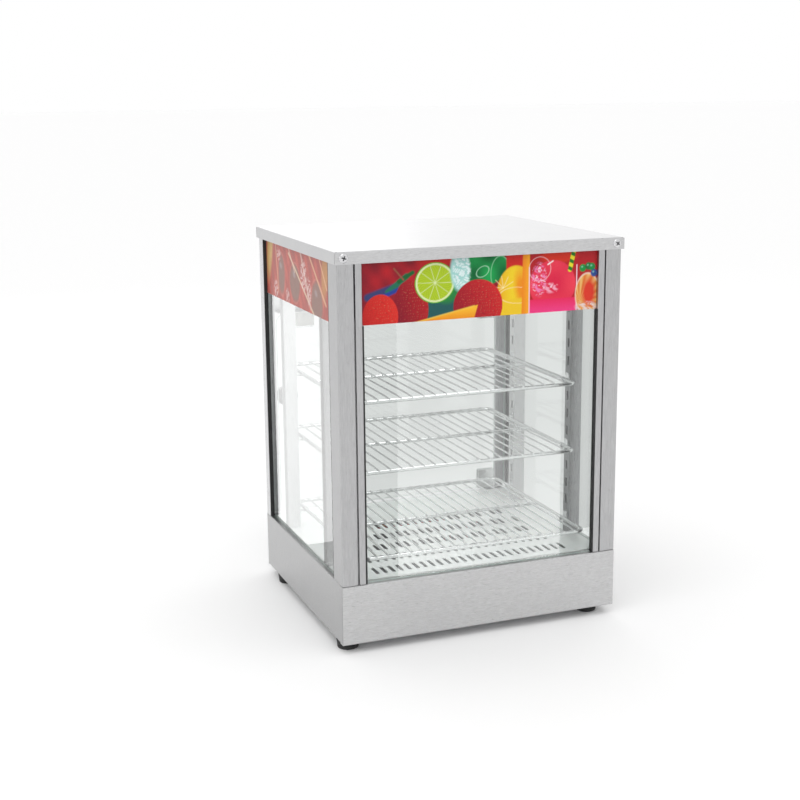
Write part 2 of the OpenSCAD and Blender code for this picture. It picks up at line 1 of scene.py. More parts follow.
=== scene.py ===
# %% [markdown]
# # A countertop hot food display case
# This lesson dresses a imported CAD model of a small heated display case. The frame brings the sizes, the
# bodies and the joints. Every cell below makes one kind of piece or one finish, says what it is on the
# real case, and puts it where the frame says it belongs.

# %% Load the frame
import json
import math
import bmesh
import bpy
import numpy as np
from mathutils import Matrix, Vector

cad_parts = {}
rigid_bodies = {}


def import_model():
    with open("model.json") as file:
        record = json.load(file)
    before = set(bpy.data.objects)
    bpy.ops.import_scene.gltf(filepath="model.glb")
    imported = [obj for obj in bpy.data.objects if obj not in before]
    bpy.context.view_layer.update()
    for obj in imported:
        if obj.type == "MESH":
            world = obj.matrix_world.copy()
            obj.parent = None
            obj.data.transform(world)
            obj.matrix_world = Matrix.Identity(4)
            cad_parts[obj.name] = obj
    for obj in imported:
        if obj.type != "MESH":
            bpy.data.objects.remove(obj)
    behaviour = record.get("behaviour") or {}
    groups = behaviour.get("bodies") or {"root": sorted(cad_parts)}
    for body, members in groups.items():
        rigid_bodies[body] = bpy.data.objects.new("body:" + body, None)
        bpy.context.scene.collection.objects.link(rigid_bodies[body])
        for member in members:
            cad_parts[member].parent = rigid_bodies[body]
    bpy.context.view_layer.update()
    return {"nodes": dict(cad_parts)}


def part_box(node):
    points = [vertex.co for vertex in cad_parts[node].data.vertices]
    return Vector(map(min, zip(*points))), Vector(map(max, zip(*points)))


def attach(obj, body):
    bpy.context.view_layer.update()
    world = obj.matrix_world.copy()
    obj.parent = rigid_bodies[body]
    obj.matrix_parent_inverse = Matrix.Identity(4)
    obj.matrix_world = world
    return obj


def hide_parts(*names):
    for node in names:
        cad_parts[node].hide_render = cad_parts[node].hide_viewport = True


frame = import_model()
NODES = frame["nodes"]

# %% [markdown]
# ## Where things are
# Sizes come from the boxes of the CAD nodes. `lo` and `hi` give a node's two corners as numpy arrays, in
# metres, so a new piece is worked out from the part that it stands for.

# %% Measures taken from the frame
MM = 0.001


def lo(node):
    """Lowest corner of a CAD node, in metres."""
    return np.array(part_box(node)[0])


def hi(node):
    """Highest corner of a CAD node, in metres."""
    return np.array(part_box(node)[1])


SHEET = 1.2 * MM
HALF_W = hi("base_right_panel")[0]
FRONT_Y = lo("base_front_panel")[1]
REAR_Y = hi("base_rear_panel")[1]
BASE_Z = lo("base_front_panel")[2]
DECK_Z = hi("base_front_panel")[2]
ROOF_Z1 = hi("roof_cap")[2]
print("half width %.3f, front %.3f, rear %.3f, deck %.3f" % (HALF_W, FRONT_Y, REAR_Y, DECK_Z))

# %% [markdown]
# ## Camera
# A product camera looks down a little from the front left. It stands well back with a longish lens, so
# the upright edges converge only slightly.

# %% Camera
camera_data = bpy.data.cameras.new("product_camera")
camera_data.lens = 63.05
camera_data.sensor_width = 36.0
camera_data.clip_end = 50.0
camera = bpy.data.objects.new("product_camera", camera_data)
camera.location = (-0.7087, FRONT_Y - 1.5482, BASE_Z + 0.6815)
camera.rotation_euler = tuple(math.radians(a) for a in (77.291, 0.517, -21.199))
bpy.context.scene.collection.objects.link(camera)
bpy.context.scene.camera = camera
print("camera at", tuple(round(v, 3) for v in camera.location))

# %% [markdown]
# ## Surfaces from arrays
# Each new piece is a surface computed as one numpy array of points on a grid. The grid's sides may be
# joined up, which makes a tube or a ring, and its ends are closed with a cap, so the piece is a solid.

# %% Mesh helpers
def mesh_object(name, points, faces):
    """A mesh from an array of points and a list of faces."""
    mesh = bpy.data.meshes.new(name)
    mesh.from_pydata(np.asarray(points, float).reshape(-1, 3).tolist(), [], faces)
    mesh.update()
    mesh.polygons.foreach_set("use_smooth", [True] * len(mesh.polygons))
    obj = bpy.data.objects.new(name, mesh)
    bpy.context.scene.collection.objects.link(obj)
    return obj


def grid_faces(rows, cols, around, start=0):
    """Quads over a grid of rows by cols points. around joins the last column to the first."""
    last = cols if around else cols - 1
    r, c = np.meshgrid(np.arange(rows - 1), np.arange(last), indexing="ij")
    a = r * cols + c
    b = r * cols + (c + 1) % cols
    quads = np.stack([a, b, b + cols, a + cols], -1).reshape(-1, 4) + start
    return quads.tolist()


def tube_faces(rows, cols, start=0):
    """A closed tube: rows rings of cols points, each end shut by one face."""
    faces = grid_faces(rows, cols, True, start)
    faces.append([start + i for i in range(cols)][::-1])
    faces.append([start + (rows - 1) * cols + i for i in range(cols)])
    return faces


def ring_faces(rows, cols):
    """A closed ring: rows loops of cols points, with the last loop joined to the first."""
    last = (rows - 1) * cols
    return grid_faces(rows, cols, True) + [[last + i, last + (i + 1) % cols, (i + 1) % cols, i]
                                           for i in range(cols)]


class Pile:
    """Collects several closed shapes in one mesh."""

    def __init__(self):
        self.points = []
        self.faces = []
        self.count = 0

    def add(self, points, faces):
        points = np.asarray(points, float).reshape(-1, 3)
        self.points.append(points)
        self.faces += [[i + self.count for i in f] for f in faces]
        self.count += len(points)

    def solid(self, name, degrees=35):
        """The pile as one mesh, facing outwards, with edges sharper than the angle kept crisp."""
        return sharp_by_angle(outward(mesh_object(name, np.concatenate(self.points), self.faces)), degrees)


def outward(obj):
    """Turns every face of a closed mesh to point outwards."""
    bm = bmesh.new()
    bm.from_mesh(obj.data)
    bmesh.ops.recalc_face_normals(bm, faces=bm.faces)
    bm.to_mesh(obj.data)
    bm.free()
    return obj


def sharp_by_angle(obj, degrees=35):
    """Shades smooth, but keeps edges sharper than the angle crisp."""
    mesh = obj.data
    mesh.set_sharp_from_angle(angle=math.radians(degrees))
    return obj


# %% [markdown]
# ## Rounded boxes
# A block with rounded edges is a sphere pulled apart: each point of a small sphere moves out to the box's
# corner that its direction points to. It gives a crisp block whose edges still catch the light.

# %% Rounded box
def rounded_box_points(low, high, radius, steps=4):
    """Points of a box with round edges: corner of an inner box plus radius times a unit direction."""
    low, high = np.asarray(low, float), np.asarray(high, float)
    middle, half = (low + high) / 2, (high - low) / 2
    radius = min(radius, half.min() * 0.999)
    quarter = np.linspace(0, math.pi / 2, steps)
    turn = np.concatenate([quarter + k * math.pi / 2 for k in range(4)])
    rise = np.concatenate([quarter - math.pi / 2, quarter])
    rise_side = np.repeat([-1.0, 1.0], steps)
    turn_x = np.repeat([1.0, -1.0, -1.0, 1.0], steps)
    turn_y = np.repeat([1.0, 1.0, -1.0, -1.0], steps)
    direction = np.stack([
        np.cos(rise)[:, None] * np.cos(turn)[None, :],
        np.cos(rise)[:, None] * np.sin(turn)[None, :],
        np.repeat(np.sin(rise)[:, None], len(turn), 1),
    ], -1)
    side = np.stack([
        np.broadcast_to(turn_x, direction.shape[:2]),
        np.broadcast_to(turn_y, direction.shape[:2]),
        np.broadcast_to(rise_side[:, None], direction.shape[:2]),
    ], -1)
    return middle + side * (half - radius) + radius * direction, tube_faces(2 * steps, 4 * steps)


def true_flats(obj):
    """Keeps flat faces shaded flat beside small round edges, by weighing normals with face area."""
    weighted = obj.modifiers.new("flat_faces", "WEIGHTED_NORMAL")
    weighted.keep_sharp = True
    return obj


def rounded_box(name, low, high, radius, steps=4):
    points, faces = rounded_box_points(low, high, radius, steps)
    return true_flats(sharp_by_angle(outward(mesh_object(name, points, faces)), 60))


# %% [markdown]
# ## Folded sheet metal
# The case is bent from thin stainless sheet. A fold's middle line is a few straight runs joined by arcs.
# Offsetting that line by half the sheet to each side gives the outline, and pulling the outline along an
# axis gives the panel, with the round bends that catch a bright line of light.

# %% Folded sheet
def fillet(path, radius, steps=5):
    """Rounds the corners of an open 2D path: each corner becomes an arc tangent to both its sides."""
    path = np.asarray(path, float)
    out = [path[0]]
    for before, corner, after in zip(path[:-2], path[1:-1], path[2:]):
        a = (before - corner) / np.linalg.norm(before - corner)
        b = (after - corner) / np.linalg.norm(after - corner)
        half_angle = math.acos(np.clip(a @ b, -1, 1)) / 2
        reach = radius / math.tan(half_angle)
        centre = corner + (a + b) / np.linalg.norm(a + b) * radius / math.sin(half_angle)
        start, end = corner + a * reach - centre, corner + b * reach - centre
        sweep = math.atan2(start[0] * end[1] - start[1] * end[0], start @ end)
        for s in np.linspace(0, sweep, steps + 1):
            c, n = math.cos(s), math.sin(s)
            out.append(centre + np.array([c * start[0] - n * start[1], n * start[0] + c * start[1]]))
    out.append(path[-1])
    return np.array(out)


def sheet_outline(path, thick, radius):
    """Closed outline of a folded sheet: the filleted path moved half the thickness to either side."""
    line = fillet(path, radius)
    step = np.gradient(line, axis=0)
    step /= np.linalg.norm(step, axis=1)[:, None]
    normal = np.stack([-step[:, 1], step[:, 0]], 1)
    return np.concatenate([line + normal * thick / 2, (line - normal * thick / 2)[::-1]])


def place(outline, along, axis):
    """Puts 2D outlines into space: the outline's plane is across the axis, at each value of along."""
    rows = []
    for value in along:
        flat = np.full((len(outline), 1), value)
        parts = {"x": (flat, outline), "y": (outline[:, :1], flat, outline[:, 1:]), "z": (outline, flat)}
        rows.append(np.concatenate(parts[axis], 1))
    return np.array(rows)


def folded(pile, path, along, axis, radius=1.6 * MM, thick=SHEET):
    """Adds a folded sheet to a pile: path in the plane across the axis, pulled between two values."""
    outline = sheet_outline(path, thick, radius)
    points = place(outline, along, axis)
    half = len(outline) // 2
    faces = grid_faces(len(points), len(outline), True)
    for row in (0, len(points) - 1):
        base = row * len(outline)
        for i in range(half - 1):
            j = len(outline) - 1 - i
            faces.append([base + i, base + i + 1, base + j - 1, base + j])
    pile.add(points, faces)


def folded_part(name, path, along, axis, degrees=35, **bend):
    """One folded sheet as a piece of its own."""
    pile = Pile()
    folded(pile, path, along, axis, **bend)
    return true_flats(pile.solid(name, degrees))


# %% [markdown]
# ## Turned parts and wires
# A turned part is a profile of radius and height spun about an axis. A wire is a small circle carried
# along a path, with its own frame turned as little as possible from one point to the next.

# %% Turned parts
def spin_axes(direction):
    """Two directions across an axis, to measure angles from."""
    d = np.asarray(direction, float)
    d = d / np.linalg.norm(d)
    helper = np.array([0.0, 0.0, 1.0]) if abs(d[2]) < 0.9 else np.array([1.0, 0.0, 0.0])
    u = np.cross(helper, d)
    u /= np.linalg.norm(u)
    return u, np.cross(d, u), d


def spun_points(profile, origin, direction, segments=48, ripple=None):
    """Rings of radius r at height h about an axis. ripple(angle, r, h) may change each point's radius."""
    u, v, d = spin_axes(direction)
    profile = np.asarray(profile, float)
    angle = np.arange(segments) * 2 * math.pi / segments
    r = np.repeat(profile[:, :1], segments, 1)
    h = np.repeat(profile[:, 1:2], segments, 1)
    if ripple is not None:
        r = ripple(angle[None, :], r, h)
    points = (np.asarray(origin, float) + r[..., None] * np.cos(angle)[None, :, None] * u
              + r[..., None] * np.sin(angle)[None, :, None] * v + h[..., None] * d)
    return points, tube_faces(len(profile), segments)


def spun(name, profile, origin, direction, segments=48, ripple=None):
    points, faces = spun_points(profile, origin, direction, segments, ripple)
    return sharp_by_angle(outward(mesh_object(name, points, faces)), 40)


def spun_ring(name, profile, origin, direction, segments, degrees, ripple=None):
    """A turned part with a hole through it: its profile goes all the way round."""
    points = spun_points(profile, origin, direction, segments, ripple)[0]
    return sharp_by_angle(outward(mesh_object(name, points, ring_faces(len(points), segments))), degrees)


# %% Wires
def tube_points(path, radius, sides=12, closed=False):
    """A circle of the given radius carried along a path, its frame carried with it."""
    path = np.asarray(path, float)
    if closed:
        tangent = np.roll(path, -1, 0) - np.roll(path, 1, 0)
    else:
        tangent = np.gradient(path, axis=0)
    tangent /= np.linalg.norm(tangent, axis=1)[:, None]
    across = spin_axes(tangent[0])[0]
    rings = []
    angle = np.arange(sides) * 2 * math.pi / sides
    radii = np.broadcast_to(radius, len(path))
    for point, t, rad in zip(path, tangent, radii):
        across = across - t * (across @ t)
        across /= np.linalg.norm(across)
        up = np.cross(t, across)
        rings.append(point + rad * (np.cos(angle)[:, None] * across + np.sin(angle)[:, None] * up))
    return np.array(rings)


def add_wire(pile, path, radius, sides=12, closed=False):
    """Adds a wire to a pile, shut at its ends unless it closes on itself."""
    rings = tube_points(path, radius, sides, closed)
    if closed:
        pile.add(rings, ring_faces(len(rings), sides))
    else:
        pile.add(rings, tube_faces(len(rings), sides))


# %% [markdown]
# ## Finishes
# All finishes are node materials on Object coordinates. `nodes_for` starts one, and small helpers add
# noise, stretched grain and bumps. A colour or value that is the same all over is set on the shader.

# %% Material helpers
def nodes_for(name, colour, metallic=0.0, roughness=0.5, **sockets):
    """A new material with one Principled shader, and its node tree."""
    material = bpy.data.materials.new(name)
    material.use_nodes = True
    tree = material.node_tree
    shader = tree.nodes["Principled BSDF"]
    shader.inputs["Base Color"].default_value = (*colour, 1.0)
    shader.inputs["Metallic"].default_value = metallic
    shader.inputs["Roughness"].default_value = roughness
    for socket, value in sockets.items():
        shader.inputs[socket.replace("_", " ")].default_value = value
    return material, tree, shader


def object_space(tree, scale=(1, 1, 1), rotation=(0, 0, 0)):
    """Object coordinates through a Mapping node."""
    where = tree.nodes.new("ShaderNodeTexCoord")
    mapping = tree.nodes.new("ShaderNodeMapping")
    mapping.inputs["Scale"].default_value = scale
    mapping.inputs["Rotation"].default_value = rotation
    tree.links.new(where.outputs["Object"], mapping.inputs["Vector"])
    return mapping.outputs["Vector"]


def noise(tree, vector, scale, detail=3.0, rough=0.5, distortion=0.0):
    """A noise pattern's value."""
    node = tree.nodes.new("ShaderNodeTexNoise")
    node.inputs["Scale"].default_value = scale
    node.inputs["Detail"].default_value = detail
    node.inputs["Roughness"].default_value = rough
    node.inputs["Distortion"].default_value = distortion
    tree.links.new(vector, node.inputs["Vector"])
    return node.outputs["Fac"]


def spread(tree, value, low, high, from_low=0.3, from_high=0.7):
    """Maps a pattern onto a range."""
    node = tree.nodes.new("ShaderNodeMapRange")
    node.inputs["From Min"].default_value = from_low
    node.inputs["From Max"].default_value = from_high
    node.inputs["To Min"].default_value = low
    node.inputs["To Max"].default_value = high
    tree.links.new(value, node.inputs["Value"])
    return node.outputs["Result"]


def between(tree, value, first, second):
    """A colour between two, by a pattern."""
    node = tree.nodes.new("ShaderNodeMix")
    node.data_type = "RGBA"
    node.inputs["A"].default_value = (*first, 1.0)
    node.inputs["B"].default_value = (*second, 1.0)
    tree.links.new(value, node.inputs["Factor"])
    return node.outputs["Result"]


def multiplied(tree, first, second):
    """One colour pattern times another."""
    node = tree.nodes.new("ShaderNodeMix")
    node.data_type = "RGBA"
    node.blend_type = "MULTIPLY"
    node.inputs["Factor"].default_value = 1.0
    tree.links.new(first, node.inputs["A"])
    tree.links.new(second, node.inputs["B"])
    return node.outputs["Result"]


def bump(tree, shader, height, strength, distance):
    """A bump on the shader from a height pattern."""
    node = tree.nodes.new("ShaderNodeBump")
    node.inputs["Strength"].default_value = strength
    node.inputs["Distance"].default_value = distance
    tree.links.new(height, node.inputs["Height"])
    tree.links.new(node.outputs["Normal"], shader.inputs["Normal"])


# %% [markdown]
# ## Brushed stainless steel
# The sheet is brushed one way before it is cut, so fine scratches run along each panel. A noise stretched
# along the grain varies the roughness and the bump, and a broad cloudy noise gives handling marks.

# %% Brushed steel
GRAIN = {"x": (30.0, 300.0, 300.0), "y": (300.0, 30.0, 300.0), "z": (300.0, 300.0, 12.0)}


def brushed_steel(name, colour, along, rough=(0.24, 0.40), depth=0.10, metallic=1.0):
    """Stainless sheet with its grain along an axis."""
    material, tree, shader = nodes_for(name, colour, metallic=metallic)
    grain = noise(tree, object_space(tree, GRAIN[along]), 5.0, 3.0, 0.7)
    clouds = noise(tree, object_space(tree), 22.0, 4.0, 0.6)
    darker = tuple(c * 0.84 for c in colour)
    lighter = tuple(min(1.0, c * 1.10) for c in colour)
    tint = between(tree, spread(tree, grain, 0.0, 1.0, 0.3, 0.7), darker, lighter)
    cloudy = multiplied(tree, tint, between(tree, clouds, (0.90, 0.90, 0.91), (1, 1, 1)))
    tree.links.new(cloudy, shader.inputs["Base Color"])
    tree.links.new(spread(tree, grain, rough[0], rough[1]), shader.inputs["Roughness"])
    bump(tree, shader, grain, depth, 0.0002)
    return material


STEEL_BASE = brushed_steel("base_brushed_steel", (0.61, 0.61, 0.61), "x")
# The side panels get a darker copy of the base steel: painted shade on the faces turned from the light.
SHADED_BASE_SIDE_STEEL = brushed_steel("base_side_brushed_steel", (0.50, 0.50, 0.50), "y")
STEEL_POST = brushed_steel("post_brushed_steel", (0.50, 0.50, 0.503), "z", depth=0.08)
STEEL_ROOF = brushed_steel("roof_brushed_steel", (0.62, 0.62, 0.622), "x", rough=(0.26, 0.40))
# The front pilasters get a darker copy of the steel: painted shade.
SHADED_PILASTER_STEEL = brushed_steel("pilaster_brushed_steel", (0.36, 0.36, 0.365), "z")
STEEL_REAR = brushed_steel("rear_brushed_steel", (0.62, 0.62, 0.625), "x")
# The rear pilasters get a lighter, less metallic copy of the steel: painted light.
LIT_REAR_PILASTER_STEEL = brushed_steel("rear_pilaster_steel", (0.64, 0.64, 0.64), "z", metallic=0.35)
# The rear posts get a lighter, less metallic copy of the post steel: painted light.
LIT_REAR_POST_STEEL = brushed_steel("rear_post_brushed_steel", (0.67, 0.67, 0.675), "z", metallic=0.40)
print("steel finishes:", [m.name for m in bpy.data.materials if "steel" in m.name])

# %% [markdown]
# ## Plated wire, zinc, deck
# Shelf wire is bright plated, with a slightly uneven skin. The deck is satin stainless that the heater
# has warmed to a faint green-grey. The hidden plates are zinc coated, with a soft crystal pattern.

# %% Plated wire
PLATED, tree, shader = nodes_for("bright_plated_wire", (0.66, 0.67, 0.67), metallic=0.85, roughness=0.22)
skin = noise(tree, object_space(tree), 420.0, 3.0, 0.6)
tree.links.new(spread(tree, skin, 0.16, 0.30), shader.inputs["Roughness"])
bump(tree, shader, skin, 0.12, 0.0002)

# %% Deck steel
DECK, tree, shader = nodes_for("deck_satin_steel", (0.94, 0.96, 0.95), metallic=0.25)
grain = noise(tree, object_space(tree, GRAIN["y"]), 5.0, 2.0, 0.6)
stain = noise(tree, object_space(tree), 9.0, 4.0, 0.6, 0.4)
stained = between(tree, spread(tree, stain, 0.0, 1.0, 0.35, 0.7), (0.97, 0.98, 0.97), (0.90, 0.94, 0.92))
tree.links.new(stained, shader.inputs["Base Color"])
tree.links.new(spread(tree, grain, 0.32, 0.50), shader.inputs["Roughness"])
bump(tree, shader, grain, 0.08, 0.0002)

# %% Zinc-coated sheet
ZINC, tree, shader = nodes_for("zinc_coated_sheet", (0.60, 0.61, 0.62), metallic=0.9)
cells = tree.nodes.new("ShaderNodeTexVoronoi")
cells.inputs["Scale"].default_value = 90.0
tree.links.new(object_space(tree), cells.inputs["Vector"])
tree.links.new(between(tree, spread(tree, cells.outputs["Distance"], 0, 1, 0.0, 0.6),
                       (0.66, 0.67, 0.68), (0.50, 0.51, 0.53)), shader.inputs["Base Color"])
tree.links.new(spread(tree, cells.outputs["Distance"], 0.34, 0.52, 0.0, 0.6), shader.inputs["Roughness"])

# %% [markdown]
# ## Glass
# A pane bends light very little, but it mirrors the room. The shader is real glass; rays from lamps go
# straight through it, so the shelves inside are lit as they are behind a thin pane.

# %% Clear glass
def pane_glass(name, colour):
    """Smooth glass for thin panes, which lets light from lamps pass."""
    material, tree, shader = nodes_for(name, colour, roughness=0.0, IOR=1.45, Transmission_Weight=1.0)
    path = tree.nodes.new("ShaderNodeLightPath")
    clear = tree.nodes.new("ShaderNodeBsdfTransparent")
    clear.inputs["Color"].default_value = (0.93, 0.95, 0.94, 1.0)
    mix = tree.nodes.new("ShaderNodeMixShader")
    tree.links.new(path.outputs["Is Shadow Ray"], mix.inputs[0])
    tree.links.new(shader.outputs["BSDF"], mix.inputs[1])
    tree.links.new(clear.outputs["BSDF"], mix.inputs[2])
    tree.links.new(mix.outputs["Shader"], tree.nodes["Material Output"].inputs["Surface"])
    return material


GLASS = pane_glass("float_glass", (0.965, 0.985, 0.975))

GROUND_EDGE, tree, shader = nodes_for("ground_glass_edge", (0.72, 0.86, 0.80), roughness=0.35)
frost = noise(tree, object_space(tree), 700.0, 3.0, 0.6)
tree.links.new(between(tree, frost, (0.66, 0.82, 0.75), (0.82, 0.93, 0.88)), shader.inputs["Base Color"])
tree.links.new(spread(tree, frost, 0.28, 0.45), shader.inputs["Roughness"])

# %% [markdown]
# ## Rubber, plastics, copper and heater sheath
# Moulded parts get a fine skin texture, rubber a coarser one. The heater's sheath is stained by heat.

# %% Moulded finishes
def moulded(name, colour, rough, grain_scale, grain_depth, **sockets):
    """Moulded plastic or rubber: a fine grain in its bump and roughness."""
    material, tree, shader = nodes_for(name, colour, **sockets)
    fine = noise(tree, object_space(tree), grain_scale, 3.0, 0.6)
    tree.links.new(spread(tree, fine, rough * 0.85, min(1.0, rough * 1.2)), shader.inputs["Roughness"])
    worn = tuple(min(1.0, c * 1.25 + 0.01) for c in colour)
    tree.links.new(between(tree, spread(tree, fine, 0.0, 1.0, 0.45, 0.8), colour, worn),
                   shader.inputs["Base Color"])
    bump(tree, shader, fine, grain_depth, 0.0003)
    return material


RUBBER = moulded("black_rubber_moulding", (0.018, 0.018, 0.018), 0.62, 700.0, 0.25)
SEAL = moulded("black_glazing_rubber", (0.012, 0.012, 0.012), 0.55, 900.0, 0.15)
BLACK_PLASTIC = moulded("black_satin_plastic", (0.022, 0.022, 0.023), 0.34, 1100.0, 0.12)
GREY_PLASTIC = moulded("grey_plastic", (0.16, 0.16, 0.17), 0.45, 900.0, 0.12)
WHITE_PLASTIC = moulded("white_plastic", (0.72, 0.71, 0.67), 0.42, 900.0, 0.10)
RED_PLASTIC = moulded("red_gloss_plastic", (0.55, 0.03, 0.025), 0.18, 600.0, 0.04)
AMBER_LENS = moulded("amber_lens", (0.85, 0.35, 0.04), 0.12, 500.0, 0.04, Transmission_Weight=0.45)
COPPER = moulded("drawn_copper", (0.75, 0.42, 0.28), 0.30, 600.0, 0.08, metallic=1.0)
SHEATH = moulded("heater_sheath", (0.20, 0.17, 0.15), 0.48, 240.0, 0.15, metallic=0.8)
SCREW = moulded("bright_screw_steel", (0.62, 0.62, 0.63), 0.16, 500.0, 0.05, metallic=1.0)
# Near-black for the bars set in the screw recesses: painted shade.
SCREW_RECESS_SHADE = moulded("screw_recess_dirt", (0.09, 0.09, 0.095), 0.60, 500.0, 0.10)
CLIP_PLATING = moulded("bright_clip_plating", (0.88, 0.89, 0.89), 0.20, 500.0, 0.03, metallic=0.5)
CHROME = moulded("polished_fittings", (0.58, 0.58, 0.59), 0.12, 500.0, 0.01, metallic=1.0)
print("finishes so far:", len(bpy.data.materials))


# %% [markdown]
# ## Finishing a piece
# `finish` gives a new piece its material, hangs it on the body that carries it, and hides the CAD nodes
# it stands for.

# %% Finish a piece
def finish(obj, material, body="case", instead_of=()):
    """Material, body and replaced nodes of a new piece; the replaced nodes are hidden."""
    obj.data.materials.clear()
    obj.data.materials.append(material)
    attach(obj, body)
    if instead_of:
        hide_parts(*instead_of)
    print("made", obj.name, len(obj.data.polygons), "faces")
    return obj


def dress(material, *nodes):
    """Gives CAD nodes a better material."""
    for node in nodes:
        obj = NODES[node]
        obj.data.materials.clear()
        obj.data.materials.append(material)


# %% [markdown]
# ## Base panels
# The base is a shallow box: a front panel and two side panels, each folded in at the top and bottom. The
# front panel covers the whole width and the side panels butt against it, which leaves a fine corner line.

# %% Base panels
BOTTOM_FOLD = 12 * MM
SIDE_TOP_FOLD = 16 * MM


def base_front():
    y0, y1 = FRONT_Y + SHEET / 2, hi("base_front_panel")[1]
    path = [(FRONT_Y + BOTTOM_FOLD, BASE_Z + SHEET / 2), (y0, BASE_Z + SHEET / 2),
            (y0, DECK_Z - SHEET / 2), (y1, DECK_Z - SHEET / 2)]
    return folded_part("base_front_skin", path, (-HALF_W, HALF_W), "x")


def base_side(side, name):
    x0, x1 = HALF_W - SHEET / 2, HALF_W - SIDE_TOP_FOLD
    path = [(side * (HALF_W - BOTTOM_FOLD), BASE_Z + SHEET / 2), (side * x0, BASE_Z + SHEET / 2),
            (side * x0, DECK_Z - SHEET / 2), (side * x1, DECK_Z - SHEET / 2)]
    return folded_part(name, path, (FRONT_Y + SHEET + 0.8 * MM, REAR_Y - SHEET - 0.25 * MM), "y")


finish(base_front(), STEEL_BASE, instead_of=["base_front_panel"])
# The side skins wear the darker copy of the steel: painted shade.
finish(base_side(-1, "base_left_skin"), SHADED_BASE_SIDE_STEEL, instead_of=["base_left_panel"])
finish(base_side(1, "base_right_skin"), SHADED_BASE_SIDE_STEEL, instead_of=["base_right_panel"])
dress(STEEL_REAR, "base_rear_panel")
dress(ZINC, "base_bottom_plate", "heat_shield_tray", "element_brackets")
dress(DECK, "deck_plate")

# %% [markdown]
# ## Corner posts and glazing channels
# Each post is one sheet folded round the corner, with a small return at both ends. Beside the front posts
# runs a narrow channel that holds the front pane; the gap between the two shows as a fine dark groove.

# %% Posts and channels
UPRIGHT_RUN = (DECK_Z + 0.7 * MM, ROOF_Z1 - 1.5 * MM)


def post(name, node, side, front):
    low, high = lo(node), hi(node)
    x0 = side * (HALF_W - SHEET / 2)
    x1 = side * (HALF_W - (high[0] - low[0]) + SHEET / 2)
    inward = 1 if front else -1
    y0 = (FRONT_Y if front else REAR_Y) + inward * SHEET / 2
    y1 = (FRONT_Y if front else REAR_Y) + inward * (high[1] - low[1] - SHEET / 2)
    path = [(x1, y0 + inward * 5 * MM), (x1, y0), (x0, y0), (x0, y1), (x0 - side * 5.4 * MM, y1)]
    return folded_part(name, path, UPRIGHT_RUN, "z", radius=1.3 * MM)


def channel(name, node):
    low, high = lo(node), hi(node)
    half = SHEET / 2
    path = [(low[0] + half, high[1]), (low[0] + half, low[1] + half),
            (high[0] - half, low[1] + half), (high[0] - half, high[1])]
    return folded_part(name, path, UPRIGHT_RUN, "z", radius=1.2 * MM)


for side, word in ((-1, "left"), (1, "right")):
    for front, place_word in ((True, "front"), (False, "rear")):
        node = f"post_{place_word}_{word}"
        # Rear posts take the lighter copy of the steel: painted light.
        steel = STEEL_POST if front else LIT_REAR_POST_STEEL
        finish(post(f"{node}_fold", node, side, front), steel, instead_of=[node])
    node = f"channel_front_{word}"
    finish(channel(f"{node}_fold", node), STEEL_POST, instead_of=[node])
dress(SEAL, "glazing_seals")
dress(STEEL_REAR, "rear_header_panel")
# Front pilasters in the darker copy, painted shade; rear pilasters in the lighter copy, painted light.
dress(SHADED_PILASTER_STEEL, "pilaster_front_left", "pilaster_front_right")
dress(LIT_REAR_PILASTER_STEEL, "pilaster_rear_left", "pilaster_rear_right")

# %% [markdown]
# ## Roof pan
# The roof is one sheet with its four edges turned down. The corners of such a pan are left open, so the
# front flange runs the whole width and the side flanges stop just behind it, which leaves a fine seam.

# %% Roof pan
def rounded_rectangle(half_x, half_y, radius, steps=4):
    """Points round a rectangle with round corners, anticlockwise."""
    quarter = np.linspace(0, math.pi / 2, steps)
    angle = np.concatenate([quarter + k * math.pi / 2 for k in range(4)])
    sx = np.repeat([1.0, -1.0, -1.0, 1.0], steps)
    sy = np.repeat([1.0, 1.0, -1.0, -1.0], steps)
    return np.stack([sx * (half_x - radius) + radius * np.cos(angle),
                     sy * (half_y - radius) + radius * np.sin(angle)], 1)


def roof_pan():
    low, high = lo("roof_cap"), hi("roof_cap")
    half, bend, lap, gap = SHEET / 2, 1.5 * MM, 3.0 * MM, 0.9 * MM
    top = high[2] - half
    pile = Pile()
    across = [(low[1] + half, low[2]), (low[1] + half, top), (high[1] - half, top), (high[1] - half, low[2])]
    folded(pile, across, (low[0] + lap, high[0] - lap), "x", radius=bend)
    for side, edge in ((-1, low[0]), (1, high[0])):
        down = [(edge - side * lap, top), (edge - side * half, top), (edge - side * half, low[2])]
        folded(pile, down, (low[1] + SHEET + gap, high[1] - SHEET - gap), "y", radius=bend)
        for y in (low[1] + half, high[1] - half):
            ear = [(edge - side * lap, y), (edge, y)]
            folded(pile, ear, (low[2], high[2] - bend * 0.6), "z")
    return true_flats(pile.solid("roof_pan", 50))


finish(roof_pan(), STEEL_ROOF, instead_of=["roof_cap"])
dress(STEEL_ROOF, "roof_liner")

# %% [markdown]
# ## Panes
# The three fixed panes have ground edges: a slab whose edges are rounded by a fraction of a millimetre.

# %% Fixed panes
def ground_edges(pane, axis):
    """Gives the edge material to every face of a pane that doesn't look along its thin axis."""
    pane.data.materials.append(GROUND_EDGE)
    normals = np.empty(len(pane.data.polygons) * 3)
    pane.data.polygons.foreach_get("normal", normals)
    rim = np.abs(normals.reshape(-1, 3)[:, axis]) < 0.9
    pane.data.polygons.foreach_set("material_index", rim.astype(np.int32))


for word, thin_axis in (("front", 1), ("left", 0), ("right", 0)):
    node = f"{word}_glass"
    pane = rounded_box(f"{word}_pane", lo(node), hi(node), 0.5 * MM, 3)
    finish(pane, GLASS, instead_of=[node])
    ground_edges(pane, thin_axis)

